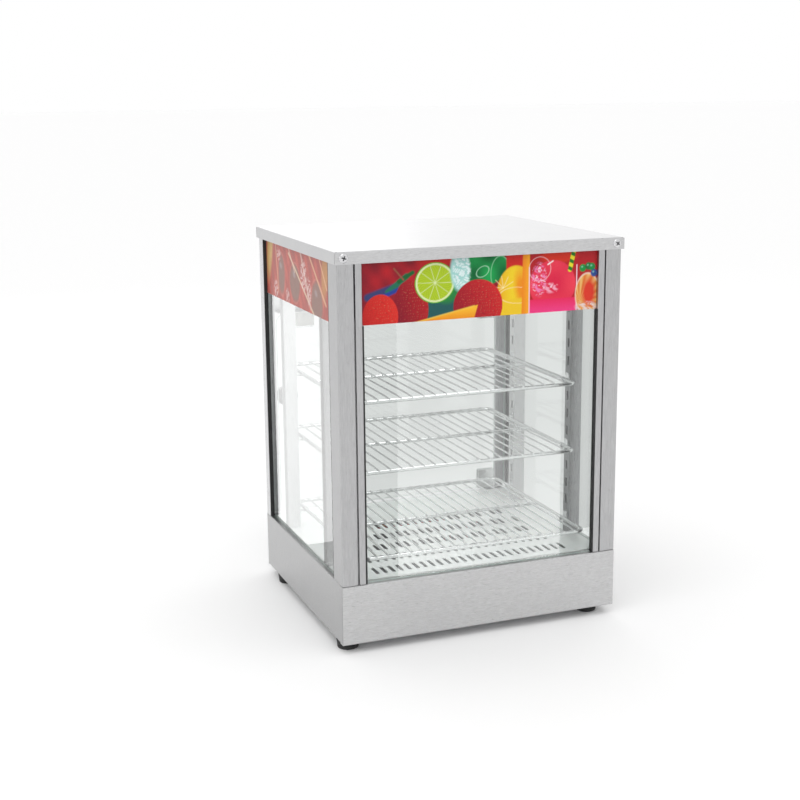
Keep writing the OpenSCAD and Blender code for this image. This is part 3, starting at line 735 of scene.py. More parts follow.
# %% [markdown]
# ## Wire shelves
# A shelf is a closed loop of thick wire with rounded corners, one cross wire, and a row of thin rods
# welded on top, their ends bent a little over the loop.

# %% Wire shelves
LOOP_R, ROD_R = 2.5 * MM, 1.2 * MM
RODS = 19


def wire_shelf(name, node, cross_share):
    low, high = lo(node), hi(node)
    z = low[2] + LOOP_R
    centre = ((low + high) / 2)[:2]
    half = ((high - low) / 2)[:2] - LOOP_R
    pile = Pile()
    loop = rounded_rectangle(half[0], half[1], 12 * MM, 8) + centre
    add_wire(pile, np.column_stack([loop, np.full(len(loop), z)]), LOOP_R, 14, closed=True)
    cross_y = low[1] + LOOP_R + cross_share * 2 * half[1]
    xs = np.linspace(-half[0], half[0], 9)
    add_wire(pile, np.column_stack([xs, np.full(9, cross_y), np.full(9, z)]), LOOP_R * 0.92, 12)
    for i in range(1, RODS + 1):
        x = -half[0] + 2 * half[0] * i / (RODS + 1)
        y = np.linspace(low[1] + 0.6 * MM, high[1] - 0.6 * MM, 15)
        sag = np.zeros(15)
        sag[[0, -1]] = 0.9 * MM
        rod = np.column_stack([np.full(15, x), y, z + LOOP_R + ROD_R - 0.5 * MM - sag])
        add_wire(pile, rod, ROD_R, 8)
    return pile.solid(name, 60)


for word, share in (("top", 0.545), ("middle", 0.50), ("bottom", 0.495)):
    node = f"shelf_{word}"
    finish(wire_shelf(f"{node}_wires", node, share), PLATED, instead_of=[node])

# %% [markdown]
# ## Shelf clips
# A clip is a bent strip hooked into a slot of the upright. The shelf's side wire lies in its hook.

# %% Shelf clips
def clips():
    outer = hi("shelf_clips")[0] - 0.7 * MM
    inner = outer - 11.5 * MM
    shelf_z = [lo(f"shelf_{w}")[2] + LOOP_R for w in ("top", "middle", "bottom")]
    pile = Pile()
    for upright in ("pilaster_front_right", "pilaster_rear_right"):
        middle_y = (lo(upright)[1] + hi(upright)[1]) / 2
        for z in shelf_z:
            for side in (-1, 1):
                path = [(side * outer, z + 6.0 * MM), (side * outer, z - 3.6 * MM),
                        (side * inner, z - 3.6 * MM), (side * inner, z + 0.4 * MM)]
                along = (middle_y - 4.5 * MM, middle_y + 4.5 * MM)
                folded(pile, path, along, "y", radius=1.0 * MM, thick=1.3 * MM)
    return true_flats(pile.solid("shelf_clip_strips"))


finish(clips(), CLIP_PLATING, instead_of=["shelf_clips"])

# %% [markdown]
# ## Feet
# Each foot is a turned rubber disc with a rounded rim and two shallow grooves.

# %% Feet
def foot_profile(height, radius):
    """Radius and height round a rubber foot, from the screw recess out to the rim and back."""
    return [(2.4 * MM, 5 * MM), (5.4 * MM, 5 * MM), (5.4 * MM, 0.6 * MM), (6.0 * MM, 0.0),
            (radius - 3.2 * MM, 0.0), (radius - 1.9 * MM, 0.5 * MM), (radius - 1.5 * MM, 1.6 * MM),
            (radius - 1.2 * MM, 4.4 * MM), (radius - 1.8 * MM, 4.9 * MM), (radius - 1.1 * MM, 5.4 * MM),
            (radius - 0.7 * MM, 8.0 * MM), (radius - 1.3 * MM, 8.5 * MM), (radius - 0.6 * MM, 9.0 * MM),
            (radius - 0.1 * MM, height - 1.0 * MM), (radius - 0.5 * MM, height), (2.4 * MM, height)]


for node in ("foot_front_left", "foot_front_right", "foot_rear_left", "foot_rear_right"):
    low, high = lo(node), hi(node)
    centre = (low + high) / 2
    foot = spun_ring(f"{node}_rubber", foot_profile(high[2], (high[0] - low[0]) / 2),
                     (centre[0], centre[1], 0.0), (0, 0, 1), 48, 50)
    finish(foot, RUBBER, instead_of=[node])

# %% [markdown]
# ## Pan-head screws with a cross recess
# The head is a dome on a polar grid. Where a point of the grid lies in the cross, it drops into the
# recess; the step between the two is the recess's wall.

# %% Screws
def screw_shape(pile, origin, direction, head_r, head_h, shank_r, shank_l, turn=0.4):
    """A pan head: height falls off with radius, less the depth of a cross; then a plain shank."""
    u, v, d = spin_axes(direction)
    segments = 64
    radii = head_r * np.concatenate([np.linspace(0.03, 0.60, 16), [0.70, 0.80, 0.88, 0.94, 0.98, 1.0]])
    angle = np.arange(segments) * 2 * math.pi / segments
    r, a = np.meshgrid(radii, angle, indexing="ij")
    share = r / head_r
    dome = head_h * (1 - 0.45 * share ** 2.2 - 0.30 * share ** 9)
    x, y = r * np.cos(a + turn), r * np.sin(a + turn)
    arm = head_r * 0.13
    reach = head_r * 0.52
    in_cross = (np.minimum(abs(x), abs(y)) < arm) & (np.maximum(abs(x), abs(y)) < reach)
    depth = np.where(in_cross, head_h * 0.55 * (1 - 0.5 * np.maximum(abs(x), abs(y)) / reach), 0.0)
    heights = dome - depth
    tail_r = np.array([head_r, shank_r, shank_r, shank_r * 0.7])
    tail_h = np.array([0.0, 0.0, -shank_l + shank_r * 0.3, -shank_l])
    r = np.concatenate([r, np.repeat(tail_r[:, None], segments, 1)])
    heights = np.concatenate([heights, np.repeat(tail_h[:, None], segments, 1)])
    points = (np.asarray(origin, float) + (r * np.cos(angle))[..., None] * u
              + (r * np.sin(angle))[..., None] * v + heights[..., None] * d)
    pile.add(points, tube_faces(len(r), segments))


def cross_shadow(pile, origin, direction, head_r, head_h, turn):
    """Two dark crossed bars low in a screw's recess: painted shade, so that the cross reads at a distance."""
    u, v, d = spin_axes(direction)
    c, s = math.cos(turn), math.sin(turn)
    for one, two in (((c, -s), (s, c)), ((-s, -c), (c, -s))):
        block, faces = rounded_box_points((-head_r * 0.50, -head_r * 0.12, head_h * 0.58),
                                          (head_r * 0.50, head_r * 0.12, head_h * 0.72), 0.05 * MM, 2)
        long_way, short_way = one[0] * u + one[1] * v, two[0] * u + two[1] * v
        pile.add(np.asarray(origin, float) + block[..., :1] * long_way + block[..., 1:2] * short_way
                 + block[..., 2:] * d, faces)


crosses = Pile()


def screw_set(name, node, sizes, spots):
    """Screws of one kind: sizes are head radius and height, shank radius and length."""
    pile = Pile()
    for origin, direction, turn in spots:
        screw_shape(pile, origin, direction, *sizes, turn)
        cross_shadow(crosses, origin, direction, *sizes[:2], turn)
    finish(pile.solid(name, 40), SCREW, instead_of=[node])


# %% Screw sets
low, high = lo("roof_screws"), hi("roof_screws")
head = (high[2] - low[2]) / 2
z = (low[2] + high[2]) / 2
spots = []
for x in (low[0] + head, high[0] - head):
    spots += [((x, lo("roof_cap")[1], z), (0, -1, 0), 0.5 + x),
              ((x, hi("roof_cap")[1], z), (0, 1, 0), 0.9 - x)]
screw_set("roof_pan_screws", "roof_screws", (head, 2.6 * MM, 2 * MM, 8 * MM), spots)

low, high = lo("panel_screws"), hi("panel_screws")
head = 3.8 * MM
spots = [((x, REAR_Y, z), (0, 1, 0), z * 90)
         for x in (low[0] + head, high[0] - head) for z in (low[2] + head, DECK_Z - 14 * MM)]
spots += [((x, REAR_Y, high[2] - head), (0, 1, 0), x * 40) for x in (-HALF_W + 40 * MM, HALF_W - 40 * MM)]
screw_set("rear_panel_screws", "panel_screws", (head, 2.4 * MM, 2 * MM, 6 * MM), spots)

low, high = lo("foot_screws"), hi("foot_screws")
head = 4 * MM
spots = [((x, y, 5 * MM), (0, 0, -1), x + y)
         for x in (low[0] + head, high[0] - head) for y in (low[1] + head, high[1] - head)]
screw_set("foot_fixing_screws", "foot_screws", (head, 2.6 * MM, 2 * MM, 14 * MM), spots)
# The dark bars in all the screw recesses: painted shade.
finish(crosses.solid("screw_crosses"), SCREW_RECESS_SHADE)

# %% [markdown]
# ## Printed banners
# A bright print of fruit and iced drinks runs along the top of each fixed pane. It is painted by shapes:
# each fruit is a soft-edged mask laid over what is already there, on a fine grid of points. The colours
# go into the mesh as a colour attribute, so the print is sharp and needs no picture file.

# %% Painting helpers
def soft(distance, edge=0.5):
    """A mask that is 1 inside a shape, 0 outside, and fades over the edge width in millimetres."""
    return np.clip(0.5 - distance / edge, 0.0, 1.0)


def shade(dark, light, amount):
    """Colours between dark and light by an array from 0 to 1."""
    return np.asarray(dark) + np.clip(amount, 0, 1)[..., None] * (np.asarray(light) - np.asarray(dark))


class Sheet:
    """Paint on a grid of points, with x across and z up in millimetres."""

    def __init__(self, x, z, ground):
        self.x, self.z = x, z
        self.paint = np.zeros(x.shape + (3,)) + ground

    def lay(self, mask, colour):
        """Lays a colour, or an array of colours, over the paint where the mask is."""
        self.paint += mask[..., None] * (np.asarray(colour) - self.paint)

    def oval(self, cx, cz, rx, rz, lean=0.0):
        """Rough distance to a leaning ellipse: (its radius ratio minus one) times its size."""
        c, n = math.cos(lean), math.sin(lean)
        across, up = self.x - cx, self.z - cz
        return (np.hypot((c * across + n * up) / rx, (-n * across + c * up) / rz) - 1.0) * min(rx, rz)

    def line(self, ax, az, bx, bz, wide):
        """Distance to a straight stroke from a to b, less half its width."""
        dx, dz = bx - ax, bz - az
        along = np.clip(((self.x - ax) * dx + (self.z - az) * dz) / (dx * dx + dz * dz), 0.0, 1.0)
        return np.hypot(self.x - ax - along * dx, self.z - az - along * dz) - wide / 2

    def blob(self, oval, edge, colour, strength=1.0):
        """A filled ellipse with a soft edge."""
        self.lay(soft(self.oval(*oval), edge) * strength, colour)

    def stroke(self, line, edge, colour, strength=1.0):
        """A straight stroke with a soft edge."""
        self.lay(soft(self.line(*line), edge) * strength, colour)

    def rim(self, oval, thin, strength, colour, level=1.2):
        """A thin line along an ellipse: full on its edge, fading on both sides."""
        self.lay(np.clip(level - np.abs(self.oval(*oval)) / thin, 0, 1) * strength, colour)

    def strawberry(self, cx, cz, rx, rz, dark, light, lean=0.0):
        """A leaning dome lit from one side, dotted with small pale seeds in leaning rows."""
        x, z, away = self.x, self.z, self.oval(cx, cz, rx, rz, lean)
        mask = soft(away)
        lit = 0.5 + 0.5 * ((x - cx) / rx * 0.8 + (z - cz) / rz * 0.35)
        self.lay(mask, shade(dark, light, lit))
        sway = 0.35 * np.sin(x * 0.37 + z * 0.21) + 0.30 * np.sin(z * 0.43 - x * 0.17)
        row = (x * 0.92 + z * 0.40) / 3.4 + sway
        place_in_row = (z * 0.92 - x * 0.40) / 3.7 + 0.5 * np.floor(row) - sway
        a, b = (row % 1.0) - 0.5, (place_in_row % 1.0) - 0.5
        pit = np.clip(1.0 - np.hypot(a, b * 0.8) * 2.6, 0, 1)
        edge = np.clip(0.35 + 0.65 * np.abs(away) / 9.0, 0, 1)
        self.lay(mask * pit * 0.55 * edge, np.array(dark) * 0.6)
        seed = np.clip(1.0 - np.hypot(a + 0.12, b - 0.10) * 6.0, 0, 1)
        self.lay(mask * seed * 0.75 * edge, shade(np.array(light) * 1.25, (0.88, 0.42, 0.22), lit))

    def citrus(self, cx, cz, r, peel, pith, flesh, parts, lean, squash):
        """A cut fruit: peel, a pale ring of pith, and flesh parted by pale spokes."""
        u, v = self.x - cx, (self.z - cz) / squash
        radius, turn = np.hypot(u, v), np.arctan2(v, u) + lean
        self.lay(soft(radius - r), peel)
        self.lay(soft(radius - r * 0.955), pith)
        inner = soft(radius - r * 0.86)
        grain = 0.5 + 0.5 * np.sin(turn * 41.0) * np.sin(radius * 1.1 + turn * 7.0)
        self.lay(inner, shade(np.array(flesh) * 0.80, np.array(flesh) * 1.15, grain))
        spoke = np.abs((turn / (2 * math.pi) * parts) % 1.0 - 0.5) * 2 * math.pi / parts * radius
        self.lay(inner * np.clip(1.3 - spoke / 0.45, 0, 1) * 0.85, pith)
        self.lay(soft(radius - 1.6, 1.2) * 0.9, pith)

    def ice(self, cx, cz, rx, rz, tint, seed):
        """Broken ice: a wavy bright pattern inside an ellipse."""
        x, z = self.x, self.z
        mask = soft(self.oval(cx, cz, rx, rz), 3.0)
        bend = 2.2 * np.sin(x * 0.23 + seed * 5) + 1.8 * np.sin(z * 0.31 - x * 0.13 + seed)
        wave = np.sin(x * 0.42 + bend) + np.sin(z * 0.55 - bend * 1.3 + seed)
        wave = wave + 0.5 * np.sin((x + 2 * z) * 0.8 + bend)
        self.lay(mask * np.clip(np.abs(wave) * 0.9 - 0.35, 0, 1) * 0.8, tint)
        self.lay(mask * np.clip(1.0 - np.abs(wave - 0.9) * 3.5, 0, 1), (1.0, 0.95, 1.0))


# %% [markdown]
# The front print is laid out in millimetres from its lower left corner, from the back of the picture to
# the front: berries and leaves, a cut lime, a green drink with ice, a lemon, and a red drink in a glass.

# %% Front print
DRAWN_WIDE, DRAWN_TALL = 316.0, 75.0


def waves(x, z, by_x, by_z, start=0.0):
    """A slow pattern from 0 to 1: a sine across times a cosine up."""
    return 0.5 + 0.5 * np.sin((x - start) * by_x) * np.cos(z * by_z)


def berries_and_lime(sheet):
    """The left half of the front print."""
    x, z = sheet.x, sheet.z
    cloud = 0.5 + 0.5 * np.sin(x * 0.21 + 1.0) * np.cos(z * 0.17 + x * 0.05)
    sheet.blob((52, 60, 46, 24), 22.0, (0.50, 0.012, 0.02), cloud)
    sheet.blob((98, 75, 26, 9), 4.0, (0.55, 0.015, 0.012))
    for line, edge, colour in (
            ((8, 33, 44, 44, 9), 3.0, (0.04, 0.05, 0.16)), ((34, 38, 58, 56, 7), 2.0, (0.015, 0.16, 0.09)),
            ((30, 34, 46, 40, 5), 2.0, (0.02, 0.05, 0.30)), ((48, 50, 66, 60, 5), 1.5, (0.01, 0.12, 0.03)),
            ((42, 66, 54, 52, 2), 1.0, (0.30, 0.09, 0.05))):
        sheet.stroke(line, edge, colour)
    for oval, edge, colour in (
            ((105, 14, 30, 26), 3.0, (0.015, 0.10, 0.10)), ((110, 34, 16, 14), 6.0, (0.02, 0.22, 0.05)),
            ((56, 4, 16, 18), 4.0, (0.07, 0.01, 0.12))):
        sheet.blob(oval, edge, colour)
    sheet.strawberry(64, 18, 22, 33, (0.20, 0.004, 0.02), (0.50, 0.012, 0.015), 0.12)
    sheet.strawberry(24, 8, 23, 28, (0.52, 0.012, 0.012), (0.72, 0.03, 0.02))
    sheet.citrus(95, 46, 26.5, (0.10, 0.42, 0.02), (0.72, 0.82, 0.42), (0.42, 0.58, 0.02), 10, 0.35, 0.94)


def green_drink_and_lemon(sheet):
    """The middle of the front print."""
    x, z = sheet.x, sheet.z
    sheet.blob((157, 62, 34, 24), 1.2, shade((0.0, 0.12, 0.03), (0.01, 0.36, 0.08), waves(x, z, 0.16, 0.12)))
    sheet.blob((128, 60, 13, 26), 3.0, (0.36, 0.66, 0.62))
    sheet.ice(130, 58, 12, 22, (0.80, 0.93, 0.92), 0.6)
    sheet.rim((182, 52, 13, 22), 0.6, 0.7, (0.35, 0.75, 0.45))
    sheet.rim((158, 56, 9, 6, 0.5), 0.5, 0.8, (0.5, 0.85, 0.6))
    sheet.lay(soft(np.maximum(190 - x, 56 - z), 1.5), (0.62, 0.02, 0.015))
    glow = 0.5 + 0.5 * np.cos((x - 200) * 0.11)
    sheet.blob((203, 30, 25, 31), 1.5, shade((0.80, 0.36, 0.01), (0.88, 0.62, 0.02), glow))
    sheet.blob((211, 32, 8, 20, 0.15), 8.0, (0.86, 0.28, 0.01))
    sheet.stroke((190, 8, 222, 10, 22), 3.0, (0.85, 0.56, 0.02))
    for k in range(6):
        turn = 0.5 + k * 0.62
        spoke = (186, 34, 186 + 15 * math.cos(turn), 34 + 15 * math.sin(turn), 0.8)
        sheet.stroke(spoke, 0.6, (0.98, 0.85, 0.45), 0.75)
    sheet.rim((205, 24, 24, 10, -0.05), 0.5, 0.7, (1.0, 0.85, 0.5))
    straw = soft(np.abs(x - 218.5) - 6.0 - 0.02 * (75 - z), 1.0)
    sheet.lay(straw, shade((0.86, 0.24, 0.01), (0.95, 0.45, 0.02), (x - 212) / 12))
    sheet.lay(soft(np.maximum(np.abs(x - 242) - 20, 62 - z), 1.5), (0.82, 0.36, 0.02))
    sheet.strawberry(152, 14, 33, 33, (0.26, 0.004, 0.02), (0.66, 0.02, 0.02), -0.45)
    above = z - 0.2 * (x - 74)
    wedge = soft(np.maximum(above, x - 147 - 0.3 * z), 1.0)
    sheet.lay(wedge, shade((0.85, 0.28, 0.01), (0.95, 0.50, 0.03), z / 12))
    sheet.lay(soft(np.abs(above) - 0.9 + 9 * (x > 147), 1.0) * 0.7, (0.90, 0.62, 0.08))


def red_drink(sheet):
    """The right end of the front print: a pink glass, a striped straw, a peach and small berries."""
    x, z = sheet.x, sheet.z
    sheet.lay(soft(np.maximum(222 - x, x - 316), 1.0), (0.46, 0.012, 0.018))
    sheet.blob((262, 70, 26, 9), 3.0, (0.66, 0.03, 0.012))
    sheet.blob((254, 34, 32, 31), 1.5,
               shade((0.70, 0.012, 0.06), (0.86, 0.05, 0.09), waves(x, z, 0.10, 0.09, 240)))
    sheet.lay(soft(np.maximum(np.abs(x - 254) - 33, z - 17), 1.0),
              shade((0.80, 0.02, 0.10), (0.86, 0.05, 0.24), 1 - z / 17))
    sheet.ice(235, 42, 10, 20, (0.90, 0.25, 0.55), 2.0)
    sheet.ice(252, 30, 9, 6, (0.95, 0.45, 0.60), 4.0)
    for edge in (221.5, 287.5):
        sheet.lay(soft(np.maximum(np.abs(x - edge) - 0.6, z - 58), 0.8), (0.95, 0.72, 0.85))
    sheet.rim((236, 55, 15, 15, 0.2), 0.6, 0.6, (0.98, 0.72, 0.75))
    sheet.stroke((247, 60, 254, 64, 1.6), 0.8, (1.0, 0.85, 0.85))
    stripes = np.floor((x * 0.5 + z) / 5.0) % 2
    sheet.stroke((278, 52, 284, 80, 6), 0.8, shade((0.02, 0.20, 0.02), (0.80, 0.72, 0.03), stripes))
    fibres = 0.5 + 0.5 * np.sin(np.arctan2(z - 10, x - 292) * 22)
    peach = (303, 20, 17, 26)
    sheet.blob(peach, 1.2, shade((0.72, 0.20, 0.03), (0.85, 0.50, 0.16), fibres))
    sheet.rim(peach, 1.0, 0.7, (0.92, 0.75, 0.62))
    sheet.blob((305, 22, 9, 17), 6.0, (0.72, 0.04, 0.02))
    sheet.ice(301, 4, 14, 6, (0.80, 0.72, 0.72), 1.0)
    for cx, cz, colour in ((296, 53, (0.01, 0.28, 0.05)), (304, 55, (0.02, 0.16, 0.04)),
                           (309, 54, (0.01, 0.26, 0.06)), (312, 46, (0.03, 0.08, 0.30))):
        sheet.blob((cx, cz, 4.6, 4.8), 1.0, colour)
        sheet.blob((cx - 1, cz + 1.5, 1.3, 1.2), 1.0, (0.35, 0.75, 0.55), 0.6)


def front_print(x, z, wide, tall):
    """Colours at every point of the front banner; the drawing is stretched to the banner's size."""
    sheet = Sheet(x * DRAWN_WIDE / wide, z * DRAWN_TALL / tall, (0.26, 0.008, 0.02))
    berries_and_lime(sheet)
    green_drink_and_lemon(sheet)
    red_drink(sheet)
    return sheet.paint


# %% [markdown]
# The side prints are the same drinks seen close: red glasses crossed by straws and streaks of ice. The
# whole print is paled a little towards pink grey: painted reflection of the pane in front of it.

# %% Side print
def side_print(x, z, wide, tall):
    """Colours at every point of a side banner, for x back from its front edge."""
    sheet = Sheet(x, z, (0.40, 0.035, 0.028))
    wave = np.sin(x * 0.16 + z * 0.07) + np.sin(x * 0.31 - z * 0.19 + 1.3)
    sheet.lay(np.clip(wave * 0.45, 0, 1), (0.55, 0.07, 0.05))
    sheet.lay(np.clip(-wave * 0.35, 0, 1), (0.28, 0.03, 0.03))
    for cx, rx, colour in ((22, 13, (0.50, 0.22, 0.04)), (wide - 18, 12, (0.55, 0.38, 0.10))):
        sheet.blob((cx, tall * 0.86, rx, tall * 0.55, 0.25), 8.0, colour)
    for cx, cz, rx, rz in ((58, 16, 22, 27), (150, 30, 21, 24), (210, 34, 14, 26)):
        sheet.blob((cx, cz, rx, rz), 5.0, (0.16, 0.13, 0.11), 0.85)
        sheet.rim((cx, cz, rx * 1.15, rz * 1.1), 1.2, 0.35, (0.7, 0.25, 0.2), 1.3)
        sheet.blob((cx + 3, cz + rz * 0.45, 6, 4, 0.4), 3.0, (0.34, 0.32, 0.34), 0.6)
    for straw, colour in (
            ((176, 66, 62, -6, 3.4), (0.78, 0.62, 0.42)), ((128, 80, 84, 6, 5.0), (0.62, 0.42, 0.36)),
            ((96, 80, 22, 18, 4.0), (0.75, 0.42, 0.24)), ((52, 80, 18, 38, 3.0), (0.78, 0.45, 0.24)),
            ((186, 84, 150, 44, 2.6), (0.75, 0.55, 0.45)), ((238, 84, 226, 8, 3.0), (0.70, 0.36, 0.22))):
        sheet.stroke(straw, 1.2, colour, 0.85)
    for cx, cz, rx, rz, seed in ((112, 44, 13, 20, 0.0), (90, 26, 9, 18, 1.7), (222, 60, 9, 8, 2.5),
                                 (184, 8, 8, 10, 3.1), (238, 12, 9, 11, 4.0)):
        sheet.ice(cx, cz, rx, rz, (0.74, 0.56, 0.54), seed)
    # Paled towards pink grey: painted reflection of the pane.
    return sheet.paint * 0.80 + 0.20 * np.array([0.72, 0.40, 0.33])


# %% [markdown]
# A banner is a thin slab. Its outer face is the painted grid; a ring of points behind the grid's border
# and one large face close it at the back.

# %% Banner pieces
PRINT, tree, shader = nodes_for("printed_film", (0.5, 0.1, 0.1), roughness=0.30, Specular_IOR_Level=0.22)
ink = tree.nodes.new("ShaderNodeVertexColor")
ink.layer_name = "ink"
dots = noise(tree, object_space(tree), 1600.0, 2.0, 0.5)
dotted = multiplied(tree, ink.outputs["Color"], between(tree, dots, (0.82, 0.82, 0.82), (1.0, 1.0, 1.0)))
tree.links.new(dotted, shader.inputs["Base Color"])
tree.links.new(spread(tree, dots, 0.26, 0.40), shader.inputs["Roughness"])


def banner(name, node, painter, axis, outside, pitch=0.8 * MM):
    """A painted slab: a grid of points on the outer face, a ring behind its border, and a back face."""
    low, high = lo(node), hi(node)
    run = 0 if axis == 1 else 1
    across = np.linspace(low[run], high[run], int((high[run] - low[run]) / pitch) + 2)
    up = np.linspace(low[2], high[2], int((high[2] - low[2]) / pitch) + 2)
    a, z = np.meshgrid(across, up, indexing="ij")
    face = high[axis] if outside > 0 else low[axis]
    back = low[axis] if outside > 0 else high[axis]
    front = np.empty(a.shape + (3,))
    front[..., run], front[..., axis], front[..., 2] = a, face, z
    rows, cols = a.shape
    index = np.arange(rows * cols).reshape(rows, cols)
    border = np.concatenate([index[:, 0], index[-1, 1:], index[-2::-1, -1], index[0, -2:0:-1]])
    ring = front.reshape(-1, 3)[border].copy()
    ring[:, axis] = back
    first = rows * cols
    count = len(border)
    loop = np.arange(count)
    after = (loop + 1) % count
    sides = np.stack([border, border[after], first + after, first + loop], 1).tolist()
    points = np.concatenate([front.reshape(-1, 3), ring])
    faces = grid_faces(rows, cols, False) + sides + [(first + loop).tolist()[::-1]]
    obj = sharp_by_angle(outward(mesh_object(name, points, faces)), 30)
    colours = np.ones((len(points), 4))
    colours[:, :3] = 0.75
    wide, tall = (across[-1] - across[0]) / MM, (up[-1] - up[0]) / MM
    painted = painter((a - across[0]) / MM, (z - up[0]) / MM, wide, tall)
    colours[:rows * cols, :3] = np.clip(painted.reshape(-1, 3), 0, 1)
    attribute = obj.data.color_attributes.new("ink", "FLOAT_COLOR", "POINT")
    attribute.data.foreach_set("color", colours.ravel())
    return obj


for word, painter, thin_axis, outside in (("front", front_print, 1, -1), ("left", side_print, 0, -1),
                                          ("right", side_print, 0, 1)):
    node = f"{word}_banner"
    finish(banner(f"{node}_print", node, painter, thin_axis, outside), PRINT,
           instead_of=[node])

# %% [markdown]
# ## Rear controls
# The thermostat's dial is a skirt with a fluted grip and a bar on top. A white line on the bar points at
# white ticks round the skirt, which grow wider with the heat. Switch, lamp and gland are moulded parts.

# %% Thermostat dial
def loft(name, outlines, smooth=40):
    """A closed skin through outlines with the same number of points; both ends are shut."""
    rows = np.array(outlines)
    return sharp_by_angle(outward(mesh_object(name, rows, tube_faces(len(rows), rows.shape[1]))), smooth)


def middle_of(node):
    """Middle of a CAD node in x and z, and its rear end in y."""
    middle = (lo(node) + hi(node)) / 2
    return middle[0], hi(node)[1], middle[2]


dial_x, dial_end, dial_z = middle_of("thermostat_knob")
dial_start = lo("thermostat_knob")[1]
skirt = [(3.1, 11), (3.1, 0), (18.6, 0), (19.6, 0.5), (20, 1.2), (20, 2.8), (19.3, 3.6), (18.2, 4),
         (16.6, 4.2), (16.1, 4.8), (15.9, 6), (15.2, 14), (14.6, 15.6), (13.4, 16.2), (6, 16.4), (0.4, 16.4)]


def fluted(angle, r, h):
    """Eighteen shallow flutes down the grip, none on the skirt or on the flat top."""
    grip = np.clip((h / MM - 4.8) / 1.2, 0, 1) * np.clip((16.2 - h / MM) / 0.6, 0, 1)
    return r - grip * 0.55 * MM * (0.5 + 0.5 * np.cos(18 * angle)) ** 2


finish(spun("dial_turned", np.array(skirt) * MM, (dial_x, dial_start, dial_z), (0, 1, 0), 216, fluted),
       BLACK_PLASTIC, "thermostat_dial", ["thermostat_knob"])
bar = rounded_box("dial_grip_bar", (dial_x - 3 * MM, dial_start + 4 * MM, dial_z - 16.6 * MM),
                  (dial_x + 3 * MM, dial_end - 0.4 * MM, dial_z + 16.6 * MM), 1.0 * MM)
finish(bar, BLACK_PLASTIC, "thermostat_dial", ["thermostat_knob"])
marks = Pile()
TICKS, FIRST_TICK = 11, 135
marks.add(*rounded_box_points((dial_x - 0.6 * MM, dial_end - 0.8 * MM, dial_z + 2 * MM),
                              (dial_x + 0.6 * MM, dial_end - 0.02 * MM, dial_z + 15 * MM), 0.1 * MM, 2))
for k in range(TICKS):
    angle = math.radians(FIRST_TICK - k * 2 * FIRST_TICK / (TICKS - 1))
    across = np.array([-math.sin(angle), 0, math.cos(angle)])
    beside = np.array([math.cos(angle), 0, math.sin(angle)])
    wide = 0.25 + 0.03 * k
    block, faces = rounded_box_points((-wide * MM, dial_start + 3.0 * MM, 16.8 * MM),
                                      (wide * MM, dial_start + 4.3 * MM, 18.9 * MM), 0.1 * MM, 2)
    centre = np.array([dial_x, 0, dial_z])
    marks.add(centre + block[..., :1] * beside + block[..., 1:2] * [0, 1, 0] + block[..., 2:] * across, faces)
finish(marks.solid("dial_marks"), WHITE_PLASTIC, "thermostat_dial")

# %% Switch frame and rocker
switch_x, switch_out, switch_z = middle_of("switch_frame")


def plate(half_x, half_z, radius, y):
    """Rounded rectangle across y, centred on the switch."""
    flat = rounded_rectangle(half_x * MM, half_z * MM, radius * MM, 5)
    return np.stack([flat[:, 0] + switch_x, np.full(len(flat), y), flat[:, 1] + switch_z], 1)


frame_rows = [plate(11.5, 8.5, 0.6, REAR_Y - 8 * MM), plate(11.5, 8.5, 0.6, REAR_Y + 1.5 * MM),
              plate(11.9, 8.9, 0.9, switch_out), plate(15.2, 11.7, 1.6, switch_out),
              plate(15.8, 12.3, 1.9, switch_out - 0.3 * MM), plate(16, 12.5, 2.0, REAR_Y + 1.0 * MM),
              plate(16, 12.5, 2.0, REAR_Y + 0.02 * MM), plate(14, 10.5, 0.6, REAR_Y),
              plate(14, 10.5, 0.6, REAR_Y - 22 * MM)]
finish(loft("switch_bezel", frame_rows), BLACK_PLASTIC, instead_of=["switch_frame"])

TILT = math.radians(-9)
PIVOT = np.array([switch_x, REAR_Y - 1.5 * MM, switch_z])


def tipped(points):
    """Turns points about the rocker's pin to the off side, from its own frame into the case's."""
    c, s = math.cos(TILT), math.sin(TILT)
    return PIVOT + points @ np.array([[1, 0, 0], [0, c, s], [0, -s, c]])


def rocker_outline(inset):
    """Outline of the rocker seen from its side: a dished face, straight ends and a flat back."""
    z = np.linspace(-7 + inset, 7 - inset, 15)
    face = 2.2 + 1.5 * (z / 7) ** 2 - inset
    y = np.concatenate([face, [1.0, -3.5 + inset, -3.5 + inset, 1.0]])
    z = np.concatenate([z, [7 - inset, 5.5 - inset, -5.5 + inset, -7 + inset]])
    return np.stack([y, z], 1) * MM


rows = []
for x, inset in ((-11, 0.5), (-10.85, 0.2), (-10.5, 0), (10.5, 0), (10.85, 0.2), (11, 0.5)):
    flat = rocker_outline(inset)
    rows.append(tipped(np.concatenate([np.full((len(flat), 1), x * MM), flat], 1)))
finish(true_flats(loft("rocker_dished", rows, 50)), RED_PLASTIC, "power_rocker",
       ["switch_rocker"])

signs = Pile()
turn = np.arange(40) * 2 * math.pi / 40


def on_dish(x, z):
    """Points in millimetres on the rocker's dished face, in the case's frame."""
    return tipped(np.stack([x, 2.25 + 1.5 * (z / 7) ** 2, z], 1) * MM)


add_wire(signs, on_dish(np.zeros(8), np.linspace(2.2, 5.4, 8)), 0.30 * MM, 8)
add_wire(signs, on_dish(1.6 * np.cos(turn), -3.8 + 1.6 * np.sin(turn)), 0.26 * MM, 8, closed=True)
finish(signs.solid("rocker_signs"), WHITE_PLASTIC, "power_rocker")

